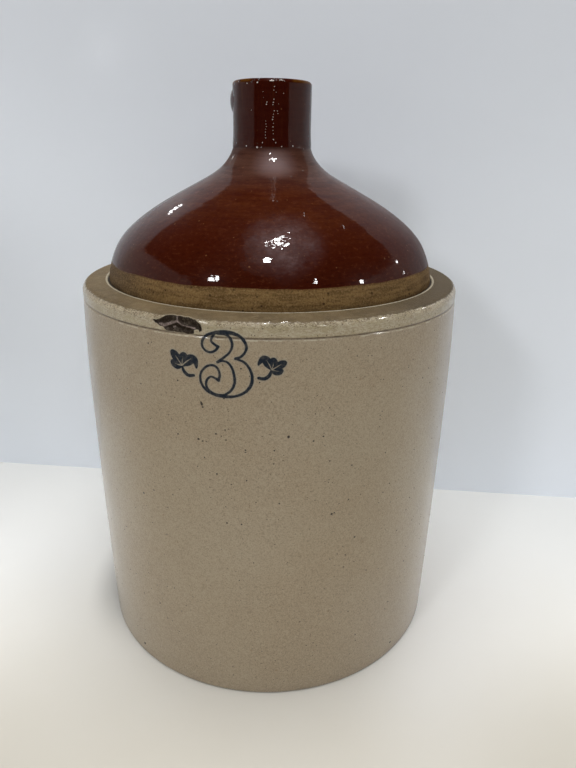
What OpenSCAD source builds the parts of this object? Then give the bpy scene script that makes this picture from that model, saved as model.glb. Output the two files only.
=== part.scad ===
/* [Crock body] */
// Height from the table to the top of the ledge
body_h = 263.5; // [180:0.5:340]
// Diameter of the foot
foot_d = 257.6; // [200:0.2:300]
// Largest diameter of the wall
belly_d = 262.8; // [206:0.2:306]
// Height of the largest diameter
belly_h = 200; // [120:1:220]
// Diameter of the wall just under the ledge
shoulder_d = 260; // [204:0.2:304]
// Thickness of the wall
body_wall = 10; // [7:0.5:14]
// Thickness of the floor
floor_wall = 12; // [8:0.5:18]
// Inner radius where the floor turns into the wall
floor_cove_r = 16; // [8:0.5:24]
// Bevel round the foot
foot_bevel = 1.5; // [0.5:0.1:3]

/* [Ledge] */
// Thickness of the ledge that carries the dome
ledge_wall = 12.5; // [10:0.5:18]
// Radius of the ledge's outer corner
ledge_corner_r = 5; // [2:0.5:7]
// Fall of the ledge from its inner edge to its corner
ledge_fall = 0.7; // [0:0.1:2]
// Rounding of the ledge's inner edge
ledge_edge_r = 0.8; // [0.3:0.1:1.5]
// Depth of the rebate that the dome's skirt stands in
rebate_depth = 6; // [4:0.5:8]
// Width of the rebate's shelf inside the skirt
shelf_overhang = 2.5; // [0:0.5:5]
// Inner radius where the wall turns into the ledge
ledge_cove_r = 12; // [6:0.5:16]
// Distance of the turned groove below the ledge
groove_drop = 10.4; // [9:0.2:16]
// Width of the turned groove
groove_w = 2.2; // [1:0.1:4]
// Depth of the turned groove
groove_depth = 0.7; // [0.3:0.1:1.2]

/* [Chip in the ledge's corner] */
// Direction of the chip's middle round the axis
chip_turn = -113; // [-180:1:180]
// Radius of the scallops that broke away
chip_r = 16; // [10:0.5:24]
// Depth of the deepest scallop
chip_depth = 2.6; // [1:0.1:3.4]
// Distance between the outer scallops
chip_spread = 11; // [6:0.5:20]
// Directions in which the two scallops bite, above the level
chip_bites = [24, 18]; // [0:1:45]

/* [Dome] */
// Diameter of the skirt that stands in the rebate
skirt_d = 224.6; // [170:0.2:240]
// Height of the dome above the ledge, up to the neck
dome_h = 84; // [60:0.5:110]
// Thickness of the dome
dome_wall = 8.5; // [6:0.5:11]
// Height of the upright part of the skirt above the ledge
skirt_rise = 1.5; // [0.5:0.5:4]
// Lean of the dome's wall where it leaves the skirt
dome_lean = 9; // [0:1:15]
// Slope of the dome's flank, from upright
flank_angle = 61.6; // [50:0.2:68]
// Diameter of the dome's collar, under the neck
collar_d = 52.6; // [44:0.2:64]

/* [Neck] */
// Height of the neck above the dome
neck_h = 39.5; // [28:0.5:60]
// Outer diameter of the neck
neck_d = 51.4; // [43:0.2:60]
// Bore that takes the cork
mouth_d = 32; // [24:0.5:36]
// Rounding of the lip's outer edge
lip_outer_r = 2.4; // [1:0.1:3]
// Rounding of the lip's inner edge
lip_inner_r = 3; // [1:0.1:4]
// Bevel of the crease between the neck and the dome
crease_bevel = 0.8; // [0.3:0.1:1.5]

/* [Handle] */
// Direction of the handle round the axis
handle_turn = 100; // [0:1:180]
// Width of the strap
strap_w = 26; // [20:0.5:32]
// Thickness of the strap
strap_t = 11.5; // [8:0.5:15]
// Depth of the thumb groove along the strap's back
thumb_groove = 1.4; // [0:0.1:2]
// Widening of the strap at its roots
root_flare = 10; // [4:0.5:16]
// Thickening of the strap at its roots
root_swell = 7; // [2:0.5:10]
// Distance from the mouth down to the strap's top root
strap_drop = 12.5; // [10:0.5:16]
// Slope at which the strap leaves the neck
strap_rise = 7; // [0:1:15]
// Pull of the strap's upper bend
upper_pull = 62; // [50:1:80]
// Pull of the strap's lower bend
lower_pull = 42; // [30:1:60]
// Turn of the lower leg out of the dome's own normal
lower_splay = 22; // [5:1:35]
// Thickness of the clay wiped round the neck at the top root
cuff_t = 0.9; // [0.5:0.1:2]
// How much thicker the wiped clay is behind the handle
cuff_shift = 4; // [2:0.5:6]
// Height of the wiped clay
cuff_h = 13; // [9:0.5:18]

/* [Slip joint] */
// Width of the slip between the skirt and the ledge
slip_w = 1.1; // [0.5:0.1:2]
// Distance of the slip's surface below the ledge
slip_sink = 1.4; // [0.5:0.1:3]
// Hollow of the slip's surface
slip_hollow = 0.4; // [0.1:0.1:0.6]

/* [Hidden] */
$fn = 96;

// Counts of steps in curves, rings along the strap and points round it
wall_steps = 10;
arc_steps = 8;
dome_steps = 16;
collar_steps = 10;
strap_rings = 40;
strap_points = 28;

// Shares of the dome's height and width that set its two curves
flank_height_share = 0.764;
flank_width_share = 0.229;
shoulder_pull_share = 0.425;
flank_pull_share = 0.467;
collar_pull_share = 0.23;
collar_end_share = 0.012;

// Where the strap lands on the dome's lower curve
landing_share = 0.79;
// Share of the strap's length that each root's flare takes
flare_share = 0.3;
// Squareness of the strap's section: one is an ellipse
section_power_share = 0.78;
// Width of the thumb groove as a share of the strap's width
groove_width_share = 0.2;

// Wall thickness that the strap's ends run into
root_sink_share = 0.6;

// Heights and radii that several pieces share
belly_r = belly_d / 2;
foot_r = foot_d / 2;
shoulder_r = shoulder_d / 2;
groove_z = body_h - groove_drop;
skirt_r = skirt_d / 2;
rebate_r = skirt_r + slip_w;
rebate_z = body_h - rebate_depth;
shelf_r = skirt_r - dome_wall - shelf_overhang;
under_z = body_h - ledge_wall;
skirt_top = body_h + skirt_rise;
neck_z = body_h + dome_h;
mouth_z = neck_z + neck_h;
collar_r = collar_d / 2;
neck_r = neck_d / 2;
mouth_r = mouth_d / 2;

// Points of an arc with centre c and radius r, from angle a to angle b
function arc(c, r, a, b) = [
    for (i = [0 : arc_steps])
        c + r * [cos(a + (b - a) * i / arc_steps), sin(a + (b - a) * i / arc_steps)]
];

// Point and direction of a cubic curve at share t of its run
function curve(p, t) =
    pow(1 - t, 3) * p[0] + 3 * pow(1 - t, 2) * t * p[1] + 3 * (1 - t) * t * t * p[2] + pow(t, 3) * p[3];
function heading(p, t) =
    let (d = pow(1 - t, 2) * (p[1] - p[0]) + 2 * (1 - t) * t * (p[2] - p[1]) + t * t * (p[3] - p[2]))
    d / norm(d);

// Radius of the wall's outside at height z: it swells to the belly and draws in again
function wall_r(z) =
    z < belly_h
    ? belly_r - (belly_r - foot_r) * pow((belly_h - z) / belly_h, 2)
    : belly_r - (belly_r - shoulder_r) * pow((z - belly_h) / (groove_z - belly_h), 2);

// The dome's lower curve bulges from the skirt to the flank
dome_width = skirt_r - collar_r;
dome_rise = neck_z - skirt_top;
flank_point = [collar_r + flank_width_share * dome_width, skirt_top + flank_height_share * dome_rise];
flank_way = [-sin(flank_angle), cos(flank_angle)];
lower_curve = [
    [skirt_r, skirt_top],
    [skirt_r, skirt_top] + shoulder_pull_share * dome_rise * [-sin(dome_lean), cos(dome_lean)],
    flank_point - flank_pull_share * dome_rise * flank_way,
    flank_point
];
// The upper curve sweeps hollow from the flank up to the collar
upper_curve = [
    flank_point,
    flank_point + collar_pull_share * dome_rise * flank_way,
    [collar_r, neck_z - collar_end_share * dome_rise],
    [collar_r, neck_z]
];

// The dome's curves moved inward by t along their normals
function inward(p, t, s) = curve(p, s) - t * [heading(p, s)[1], -heading(p, s)[0]];
function dome_line(t) = concat(
    [for (i = [0 : dome_steps]) inward(lower_curve, t, i / dome_steps)],
    [for (i = [1 : collar_steps]) inward(upper_curve, t, i / collar_steps)]
);
throat_r = collar_r - dome_wall;

// Outline of the dome's outside, filled to the axis
dome_outside = concat([[0, rebate_z], [skirt_r, rebate_z]], dome_line(0), [[0, neck_z]]);

// Outline of the neck's outside, filled to the axis
neck_outside = concat(
    [[0, neck_z], [neck_r - crease_bevel, neck_z], [neck_r, neck_z + crease_bevel]],
    arc([neck_r - lip_outer_r, mouth_z - lip_outer_r], lip_outer_r, 0, 90),
    [[0, mouth_z]]
);

// Thrown clay wall with floor, ledge and rebate in one turned outline
module crock_outline() {
    top_of_wall = under_z - ledge_cove_r;
    bottom_of_wall = floor_wall + floor_cove_r;
    corner = [shoulder_r - ledge_corner_r, body_h - ledge_fall - ledge_corner_r];
    upper_cove = [wall_r(top_of_wall) - body_wall - ledge_cove_r, top_of_wall];
    lower_cove = [wall_r(bottom_of_wall) - body_wall - floor_cove_r, bottom_of_wall];
    wall_low = foot_bevel;
    wall_high = groove_z - groove_w / 2;
    polygon(concat(
        [[0, 0], [wall_r(foot_bevel) - foot_bevel, 0]],
        [for (i = [0 : wall_steps])
            let (z = wall_low + (wall_high - wall_low) * i / wall_steps)
            [wall_r(z), z]],
        [[wall_r(groove_z) - groove_depth, groove_z], [shoulder_r, groove_z + groove_w / 2]],
        arc(corner, ledge_corner_r, 0, 90),
        arc([rebate_r + ledge_edge_r, body_h - ledge_edge_r], ledge_edge_r, 90, 180),
        [[rebate_r, rebate_z], [shelf_r, rebate_z], [shelf_r, under_z]],
        arc(upper_cove, ledge_cove_r, 90, 0),
        [for (i = [wall_steps - 1 : -1 : 1])
            let (z = bottom_of_wall + (top_of_wall - bottom_of_wall) * i / wall_steps)
            [wall_r(z) - body_wall, z]],
        arc(lower_cove, floor_cove_r, 0, -90),
        [[0, floor_wall]]
    ));
}

// One scallop: a sphere that bites into the ledge's corner, side along the rim
module scallop(side, bite) {
    corner_centre_r = shoulder_r - ledge_corner_r;
    corner_centre_z = body_h - ledge_fall - ledge_corner_r;
    reach = ledge_corner_r + chip_r - chip_depth;
    rotate([0, 0, chip_turn])
        translate([corner_centre_r + reach * cos(bite), side, corner_centre_z + reach * sin(bite)])
            sphere(r = chip_r);
}

// The crock: floor, wall and ledge, with the chip broken out of the ledge's corner
module crock_body() {
    color([0.68, 0.63, 0.53])
    difference() {
        rotate_extrude() crock_outline();
        scallop(-chip_spread / 2, chip_bites[0]);
        scallop(chip_spread / 2, chip_bites[1]);
    }
}

// The dome: an upright skirt in the rebate, a full shoulder and a hollow sweep to the collar
module dome_top() {
    color([0.26, 0.1, 0.07])
    rotate_extrude()
        polygon(concat(
            [[skirt_r - dome_wall, rebate_z], [skirt_r, rebate_z]],
            dome_line(0),
            [[throat_r, neck_z]],
            [for (i = [collar_steps - 1 : -1 : 1]) inward(upper_curve, dome_wall, i / collar_steps)],
            [for (i = [dome_steps : -1 : 1]) inward(lower_curve, dome_wall, i / dome_steps)],
            [[skirt_r - dome_wall, skirt_top]]
        ));
}

// The neck: a thick collar with a straight bore for the cork and a rounded lip
module neck() {
    color([0.22, 0.07, 0.05])
    rotate_extrude()
        polygon(concat(
            [[mouth_r, neck_z], [neck_r - crease_bevel, neck_z], [neck_r, neck_z + crease_bevel]],
            arc([neck_r - lip_outer_r, mouth_z - lip_outer_r], lip_outer_r, 0, 90),
            arc([mouth_r + lip_inner_r, mouth_z - lip_inner_r], lip_inner_r, 90, 180)
        ));
}

// Route of the strap in the plane of the handle: out of the neck and down on to the dome
landing = curve(lower_curve, landing_share);
landing_way = heading(lower_curve, landing_share);
landing_normal = [landing_way[1], -landing_way[0]];
leg_angle = atan2(landing_normal[1], landing_normal[0]) - lower_splay;
strap_z = mouth_z - strap_drop;
strap_route = [
    [neck_r - root_sink_share * (neck_r - mouth_r), strap_z],
    [neck_r, strap_z] + upper_pull * [cos(strap_rise), sin(strap_rise)],
    landing + lower_pull * [cos(leg_angle), sin(leg_angle)],
    landing - root_sink_share * dome_wall * landing_normal
];

// Flare of the strap at share s of its run: one at each end, falling to zero
function flare(s) =
    let (e = min(s, 1 - s) / flare_share)
    e < 1 ? pow(1 - e, 2) : 0;
function signed_power(v) = sign(v) * pow(abs(v), section_power_share);

// One point of the strap's section: x across the strap, y towards its back
function section_point(a, s) =
    let (
        x = (strap_w + root_flare * flare(s)) / 2 * signed_power(cos(a)),
        y = (strap_t + root_swell * flare(s)) / 2 * signed_power(sin(a)),
        dip = thumb_groove * (1 - flare(s)) * exp(-pow(x / (groove_width_share * strap_w), 2))
    )
    [x, y > 0 ? y - dip : y];

// The strap: sections set square to the route, joined ring to ring
module strap() {
    points = [
        for (k = [0 : strap_rings], i = [0 : strap_points - 1])
            let (
                s = k / strap_rings,
                q = section_point(360 * i / strap_points, s),
                p = curve(strap_route, s),
                w = heading(strap_route, s)
            )
            [q[0], p[0] - q[1] * w[1], p[1] + q[1] * w[0]]
    ];
    sides = [
        for (k = [0 : strap_rings - 1], i = [0 : strap_points - 1])
            let (
                a = k * strap_points + i,
                b = k * strap_points + (i + 1) % strap_points
            )
            each [[a, b, b + strap_points], [a, b + strap_points, a + strap_points]]
    ];
    first = [for (i = [0 : strap_points - 1]) strap_points - 1 - i];
    last = [for (i = [0 : strap_points - 1]) strap_rings * strap_points + i];
    polyhedron(points, concat(sides, [first, last]));
}

// Clay of the top root, wiped round the neck and thickest behind the handle
module cuff() {
    edge_r = cuff_h / 2;
    translate([0, cuff_shift, strap_z])
        rotate_extrude()
            polygon(concat(
                [[0, -edge_r]],
                arc([neck_r + cuff_t - edge_r, 0], edge_r, -90, 90),
                [[0, edge_r]]
            ));
}

// The handle: strap and wiped root, cut to the neck and the dome that they sit on
module handle() {
    color([0.24, 0.09, 0.06])
    difference() {
        rotate([0, 0, handle_turn - 90]) {
            strap();
            cuff();
        }
        rotate_extrude() polygon(neck_outside);
        rotate_extrude() polygon(dome_outside);
    }
}

// The slip that lutes the dome's skirt into the ledge, with a hollow surface
module joint_slip() {
    color([0.16, 0.12, 0.08])
    rotate_extrude()
        polygon([
            [skirt_r, rebate_z],
            [rebate_r, rebate_z],
            [rebate_r, body_h - slip_sink],
            [skirt_r + slip_w / 2, body_h - slip_sink - slip_hollow],
            [skirt_r, body_h - slip_sink]
        ]);
}

crock_body();
dome_top();
neck();
handle();
joint_slip();
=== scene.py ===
"""Dresses the stoneware shoulder jug: cream crock, domed brown top, neck, strap handle and slip joint."""
import logging
import math
from dataclasses import dataclass, field
from enum import Enum

import bpy
import numpy as np
from mathutils import Matrix, Vector


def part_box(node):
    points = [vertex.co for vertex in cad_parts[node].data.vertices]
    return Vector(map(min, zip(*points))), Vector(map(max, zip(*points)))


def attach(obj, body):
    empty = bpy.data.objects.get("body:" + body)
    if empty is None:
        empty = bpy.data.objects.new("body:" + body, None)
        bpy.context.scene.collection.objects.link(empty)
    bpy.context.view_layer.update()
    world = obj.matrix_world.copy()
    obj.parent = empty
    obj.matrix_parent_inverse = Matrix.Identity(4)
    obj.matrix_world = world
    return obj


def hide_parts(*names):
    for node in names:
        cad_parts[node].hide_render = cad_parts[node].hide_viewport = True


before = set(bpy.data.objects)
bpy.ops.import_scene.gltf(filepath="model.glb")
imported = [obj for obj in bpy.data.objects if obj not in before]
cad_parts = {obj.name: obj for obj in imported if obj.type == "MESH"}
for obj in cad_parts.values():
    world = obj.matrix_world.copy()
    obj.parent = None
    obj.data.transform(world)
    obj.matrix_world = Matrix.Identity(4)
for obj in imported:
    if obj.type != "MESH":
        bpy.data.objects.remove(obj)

MM = 0.001
LOG = logging.getLogger("jug")
SEAM_REACH = 0.001 * MM
BEAD_SPREAD = (0.75, 1.3)
FULL_TURN = 360

Colour = tuple[float, float, float]
Place = tuple[float, float, float]
Point = tuple[float, float]
Socket = bpy.types.NodeSocket


# Node trees.


class Graph:
    """Short calls to add nodes to one tree and to join them."""

    COLUMN = 4
    SPACING = 220
    NUMBER_RESULTS = ("DOT_PRODUCT", "LENGTH", "DISTANCE")

    def __init__(self, tree: bpy.types.NodeTree) -> None:
        """Keeps the tree that the calls work on.

        Args:
            tree: a shader or geometry node tree.
        """
        self.tree = tree
        self.count = 0

    def add(self, kind: str, inputs: dict | None = None, **settings) -> bpy.types.Node:
        """Adds a node, sets its options and fills or joins its inputs.

        Args:
            kind: Blender's name of the node's type.
            inputs: values or sockets by the input's name or number.
            settings: the node's own options.

        Returns:
            The new node.
        """
        node = self.tree.nodes.new(kind)
        column, row = divmod(self.count, self.COLUMN)
        node.location = (self.SPACING * column, -self.SPACING * row)
        self.count += 1
        for name, value in settings.items():
            setattr(node, name, value)
        self.fill(node, inputs or {})
        return node

    def fill(self, node: bpy.types.Node, inputs: dict) -> None:
        """Sets or joins several inputs of a node, by their names or numbers."""
        for name, value in inputs.items():
            self.put(node.inputs[name], value)

    def put(self, socket: bpy.types.NodeSocket, value: object) -> None:
        """Joins a socket to the input, or sets the input's own value, or leaves it if the value is None."""
        if isinstance(value, bpy.types.NodeSocket):
            self.tree.links.new(value, socket)
        elif value is not None:
            if socket.type == "RGBA" and len(value) == 3:
                value = (*value, 1.0)
            socket.default_value = value

    def math(self, how: str, a: object, b: object = None, c: object = None, clamp: bool = False) -> Socket:
        """Adds a Math node and returns its result."""
        return self.add("ShaderNodeMath", {0: a, 1: b, 2: c}, operation=how, use_clamp=clamp).outputs[0]

    def times(self, first: object, *others: object) -> Socket:
        """Returns the product of numbers, at least one of them a socket."""
        for other in others:
            first = self.math("MULTIPLY", first, other)
        return first

    def linear(self, value: object, slope: object, start: object) -> Socket:
        """Returns start plus slope times value."""
        return self.math("MULTIPLY_ADD", value, slope, start)

    def swing(self, value: object, size: object) -> Socket:
        """Returns a pattern from zero to one as a swing about zero, with the given size from low to high."""
        return self.times(self.math("SUBTRACT", value, 0.5), size)

    def vector(self, how: str, a: object, b: object = None, scale: object = None) -> Socket:
        """Adds a Vector Math node and returns its result, which is a number for a length or a product."""
        node = self.add("ShaderNodeVectorMath", {0: a, 1: b}, operation=how)
        if scale is not None:
            self.put(node.inputs["Scale"], scale)
        return node.outputs["Value" if how in self.NUMBER_RESULTS else "Vector"]

    def stretched(self, where: object, share: float) -> Socket:
        """Returns a place whose height is multiplied, so that a pattern there lies in bands or stands in runs."""
        return self.vector("MULTIPLY", where, (1.0, 1.0, share))

    def parts(self, vector: object) -> bpy.types.bpy_prop_collection:
        """Returns the X, Y and Z of a vector."""
        return self.add("ShaderNodeSeparateXYZ", {0: vector}).outputs

    def joined(self, x: object = None, y: object = None, z: object = None) -> Socket:
        """Returns a vector from its X, Y and Z."""
        return self.add("ShaderNodeCombineXYZ", {0: x, 1: y, 2: z}).outputs[0]

    def step(self, value: object, low: object, high: object) -> Socket:
        """Returns a smooth step of value: zero at low and one at high."""
        inputs = {"Value": value, "From Min": low, "From Max": high}
        return self.add("ShaderNodeMapRange", inputs, interpolation_type="SMOOTHSTEP").outputs["Result"]

    def line(self, value: object, middle: float, inner: float, outer: float) -> Socket:
        """Returns a soft-edged band about a middle: one within inner of it and zero beyond outer."""
        away = self.math("ABSOLUTE", self.math("SUBTRACT", value, middle))
        return self.math("SUBTRACT", 1.0, self.step(away, inner, outer))

    def _mixed(self, data: str, kind: str, share: object, a: object, b: object) -> Socket:
        """Adds a Mix node for one kind of value and returns its result."""
        node = self.add("ShaderNodeMix", data_type=data)
        ends = [s for s in node.inputs if s.type == kind and s.name in "AB"]
        for socket, value in zip((node.inputs["Factor"], *ends), (share, a, b)):
            self.put(socket, value)
        return next(s for s in node.outputs if s.type == kind)

    def mix(self, share: object, a: object, b: object) -> Socket:
        """Returns colour a mixed towards colour b by share."""
        return self._mixed("RGBA", "RGBA", share, a, b)

    def blend(self, share: object, a: object, b: object) -> Socket:
        """Returns number a mixed towards number b by share."""
        return self._mixed("FLOAT", "VALUE", share, a, b)

    def layered(self, base: object, *layers: tuple) -> Socket:
        """Lays colours over a base.

        Args:
            base: the colour underneath.
            layers: each layer's colour, followed by the masks and shares whose product says how much it covers.

        Returns:
            The colour with all layers.
        """
        for colour, *masks in layers:
            base = self.mix(self.times(*masks), base, colour)
        return base

    def noise(self, where: object, scale: object, detail: float = 2.0, rough: float = 0.5) -> Socket:
        """Returns a noise pattern's value."""
        inputs = {"Vector": where, "Scale": scale, "Detail": detail, "Roughness": rough}
        return self.add("ShaderNodeTexNoise", inputs).outputs["Fac"]


def new_group(name: str, kind: str, inputs: dict[str, object], output: tuple[str, str]) -> tuple:
    """Makes a node group with named inputs and one output.

    Args:
        name: the group's name.
        kind: ShaderNodeTree or GeometryNodeTree.
        inputs: each input's starting number, or its type where it has none, by the input's name.
        output: the output's name and type.

    Returns:
        The group, its Graph, the input node's outputs and the socket to join the result to.
    """
    tree = bpy.data.node_groups.new(name, kind)
    types = {float: "Float", int: "Int"}
    for label, value in inputs.items():
        number = type(value) in types
        socket_type = "NodeSocket" + (types[type(value)] if number else value)
        socket = tree.interface.new_socket(name=label, in_out="INPUT", socket_type=socket_type)
        if number:
            socket.default_value = value
    tree.interface.new_socket(name=output[0], in_out="OUTPUT", socket_type="NodeSocket" + output[1])
    graph = Graph(tree)
    given = graph.add("NodeGroupInput").outputs
    return tree, graph, given, graph.add("NodeGroupOutput").inputs[0]


class SurfaceEffects:
    """Shader node groups that several finishes share, each built once."""

    def __init__(self) -> None:
        """Builds the groups."""
        self.peel = self._orange_peel()
        self.specks = self._specks()
        self.line = self._line_mark()
        self.patchy_shade = self._patchy_shade()

    @staticmethod
    def _orange_peel() -> bpy.types.NodeTree:
        """Builds the grain of a fired glaze: fine dimples over a slower ripple."""
        inputs = {"Vector": "Vector", "Grain": 900.0, "Ripple": 120.0, "Ripple Share": 0.5}
        tree, g, given, result = new_group("orange_peel", "ShaderNodeTree", inputs, ("Height", "Float"))
        fine = g.noise(given["Vector"], given["Grain"], 1.0)
        slow = g.noise(given["Vector"], given["Ripple"], 2.0)
        g.put(result, g.blend(given["Ripple Share"], fine, slow))
        return tree

    @staticmethod
    def _specks() -> bpy.types.NodeTree:
        """Builds scattered specks: round spots in some cells of a pattern."""
        inputs = {"Vector": "Vector", "Scale": 300.0, "Share": 0.2, "Size": 0.3}
        tree, g, given, result = new_group("specks", "ShaderNodeTree", inputs, ("Mask", "Float"))
        cells = g.add("ShaderNodeTexVoronoi", {"Vector": given["Vector"], "Scale": given["Scale"]}, feature="F1")
        pick = g.add("ShaderNodeSeparateColor", {0: cells.outputs["Color"]})
        chosen = g.math("LESS_THAN", pick.outputs[0], given["Share"])
        size = g.times(given["Size"], g.linear(pick.outputs[1], 0.8, 0.35))
        spot = g.math("SUBTRACT", 1.0, g.step(cells.outputs["Distance"], g.times(size, 0.6), size))
        g.put(result, g.times(chosen, spot))
        return tree

    @staticmethod
    def _line_mark() -> bpy.types.NodeTree:
        """Builds one straight stroke on a surface between two points, such as a hairline or a scratch."""
        inputs = {"Vector": "Vector", "Start": "Vector", "End": "Vector", "Width": 0.4 * MM}
        tree, g, given, result = new_group("line_mark", "ShaderNodeTree", inputs, ("Mask", "Float"))
        reach = g.vector("SUBTRACT", given["Vector"], given["Start"])
        run = g.vector("SUBTRACT", given["End"], given["Start"])
        share = g.math("DIVIDE", g.vector("DOT_PRODUCT", reach, run), g.vector("DOT_PRODUCT", run, run), clamp=True)
        away = g.vector("LENGTH", g.vector("SUBTRACT", reach, g.vector("SCALE", run, scale=share)))
        g.put(result, g.math("SUBTRACT", 1.0, g.step(away, g.times(given["Width"], 0.35), given["Width"])))
        return tree

    @staticmethod
    def _patchy_shade() -> bpy.types.NodeTree:
        """Builds painted shade that lies in patches, thickest at one height and thinner away from it."""
        inputs = {"Vector": "Vector", "Height": 0.0, "Reach": 10 * MM, "Patch": 60.0}
        tree, g, given, result = new_group("patchy_shade", "ShaderNodeTree", inputs, ("Mask", "Float"))
        away = g.math("ABSOLUTE", g.math("SUBTRACT", g.parts(given["Vector"])["Z"], given["Height"]))
        near = g.math("SUBTRACT", 1.0, g.math("DIVIDE", away, given["Reach"]), clamp=True)
        patch = g.step(g.noise(given["Vector"], given["Patch"], 4.0, 0.65), 0.3, 0.75)
        g.put(result, g.times(near, patch))
        return tree


# Sizes and outlines.


@dataclass(frozen=True)
class JugSizes:
    """Heights and radii in metres that several pieces share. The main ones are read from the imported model."""

    belly_r: float
    ledge_z: float
    skirt_r: float
    skirt_foot_z: float
    rebate_r: float
    neck_z: float
    neck_r: float
    mouth_z: float
    foot_r: float = 128.8 * MM
    shoulder_r: float = 130 * MM
    belly_z: float = 200 * MM
    groove_z: float = 253.1 * MM
    skirt_rise: float = 1.5 * MM
    collar_r: float = 26.3 * MM
    mouth_r: float = 16 * MM
    dome_wall: float = 8.5 * MM
    bare_z: float = 275.4 * MM
    neck_swell: float = 0.05 * MM
    flare_reach: float = 6 * MM

    @classmethod
    def from_frame(cls) -> "JugSizes":
        """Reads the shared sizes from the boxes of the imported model's nodes."""
        crock, dome, neck, slip = (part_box(n) for n in ("crock_body", "dome_top", "neck", "joint_slip"))
        return cls(
            belly_r=crock[1][0],
            ledge_z=crock[1][2],
            skirt_r=dome[1][0],
            skirt_foot_z=dome[0][2],
            rebate_r=slip[1][0],
            neck_z=dome[1][2],
            neck_r=neck[1][0],
            mouth_z=neck[1][2],
        )

    def neck_at(self, z: float) -> float:
        """Returns the radius of the neck's outside at height z, with its flared foot."""
        body = self.neck_r + self.neck_swell
        return body + (self.collar_r - body) * math.exp(-(((z - self.neck_z) / self.flare_reach) ** 2))

    def wall_r(self, z: float) -> float:
        """Returns the radius of the crock's outside at height z."""
        end_r, end_z = (self.foot_r, 0.0) if z < self.belly_z else (self.shoulder_r, self.groove_z)
        return self.belly_r - (self.belly_r - end_r) * ((z - self.belly_z) / (end_z - self.belly_z)) ** 2


def smooth(value: float, low: float, high: float) -> float:
    """Returns a smooth step of value: zero at low and one at high."""
    t = min(max((value - low) / (high - low), 0.0), 1.0)
    return t * t * (3 - 2 * t)


def arc(centre: Point, radius: float, start: float, end: float, steps: int = 8) -> list[Point]:
    """Returns points of an arc, with its angles in degrees."""
    turns = np.radians(np.linspace(start, end, steps + 1))
    return [(centre[0] + radius * math.cos(t), centre[1] + radius * math.sin(t)) for t in turns]


def cubic(points: np.ndarray, t: float) -> np.ndarray:
    """Returns the point of a cubic curve at share t of its run."""
    a, b, c, d = points
    return (1 - t) ** 3 * a + 3 * (1 - t) ** 2 * t * b + 3 * (1 - t) * t * t * c + t**3 * d


def cubic_way(points: np.ndarray, t: float) -> np.ndarray:
    """Returns the direction of a cubic curve at share t of its run."""
    a, b, c, d = points
    way = (1 - t) ** 2 * (b - a) + 2 * (1 - t) * t * (c - b) + t * t * (d - c)
    return way / np.linalg.norm(way)


@dataclass(frozen=True)
class DomeOutline:
    """The dome's two cubic curves: a bulging one from the skirt and a hollow one up to the collar."""

    sizes: JugSizes
    lean: float = 9.0
    flank_angle: float = 61.6
    flank_height_share: float = 0.764
    flank_width_share: float = 0.229
    shoulder_pull_share: float = 0.425
    flank_pull_share: float = 0.467
    collar_pull_share: float = 0.23
    collar_end_share: float = 0.012
    hollow: float = 1.6 * MM
    hollow_from: Point = (286 * MM, 308 * MM)
    hollow_to: Point = (350 * MM, 331 * MM)

    def curves(self) -> tuple[np.ndarray, np.ndarray]:
        """Returns the control points of the lower and the upper curve."""
        s = self.sizes
        start = np.array([s.skirt_r, s.ledge_z + s.skirt_rise])
        width, rise = s.skirt_r - s.collar_r, s.neck_z - start[1]
        flank = np.array([s.collar_r + self.flank_width_share * width, start[1] + self.flank_height_share * rise])
        lean, slope = math.radians(self.lean), math.radians(self.flank_angle)
        way = np.array([-math.sin(slope), math.cos(slope)])
        first = start + self.shoulder_pull_share * rise * np.array([-math.sin(lean), math.cos(lean)])
        lower = np.array([start, first, flank - self.flank_pull_share * rise * way, flank])
        end = np.array([s.collar_r, s.neck_z])
        last = np.array([s.collar_r, s.neck_z - self.collar_end_share * rise])
        return lower, np.array([flank, flank + self.collar_pull_share * rise * way, last, end])

    def line(self, depth: float, steps: int = 44) -> list[Point]:
        """Returns the dome's outline from the skirt to the collar, moved inward by depth."""
        found = []
        for number, curve in enumerate(self.curves()):
            for t in np.linspace(0, 1, steps)[number:]:
                way = cubic_way(curve, t)
                r, z = cubic(curve, t) - depth * np.array([way[1], -way[0]])
                found.append((r - self.hollow * min(smooth(z, *self.hollow_from), smooth(z, *self.hollow_to)), z))
        return found


# Geometry node trees.


def placed(name: str, data: bpy.types.ID) -> bpy.types.Object:
    """Returns a new object that is in the scene."""
    made = bpy.data.objects.new(name, data)
    bpy.context.scene.collection.objects.link(made)
    return made


def store(mesh: bpy.types.Mesh, name: str, values: np.ndarray) -> None:
    """Keeps a number or a vector with each point of a mesh, under a name."""
    kind, label = ("FLOAT", "value") if values.ndim == 1 else ("FLOAT_VECTOR", "vector")
    mesh.attributes.new(name, kind, "POINT").data.foreach_set(label, values.astype(np.float32).ravel())


def set_inputs(modifier: bpy.types.NodesModifier, values: dict[str, object]) -> None:
    """Sets a geometry tree's inputs by the sockets' identifiers.

    Args:
        modifier: the modifier that holds the tree.
        values: each input's value by its name.
    """
    items = modifier.node_group.interface.items_tree
    sockets = {i.name: i.identifier for i in items if i.item_type == "SOCKET" and i.in_out == "INPUT"}
    for name, value in values.items():
        modifier[sockets[name]] = value


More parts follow.
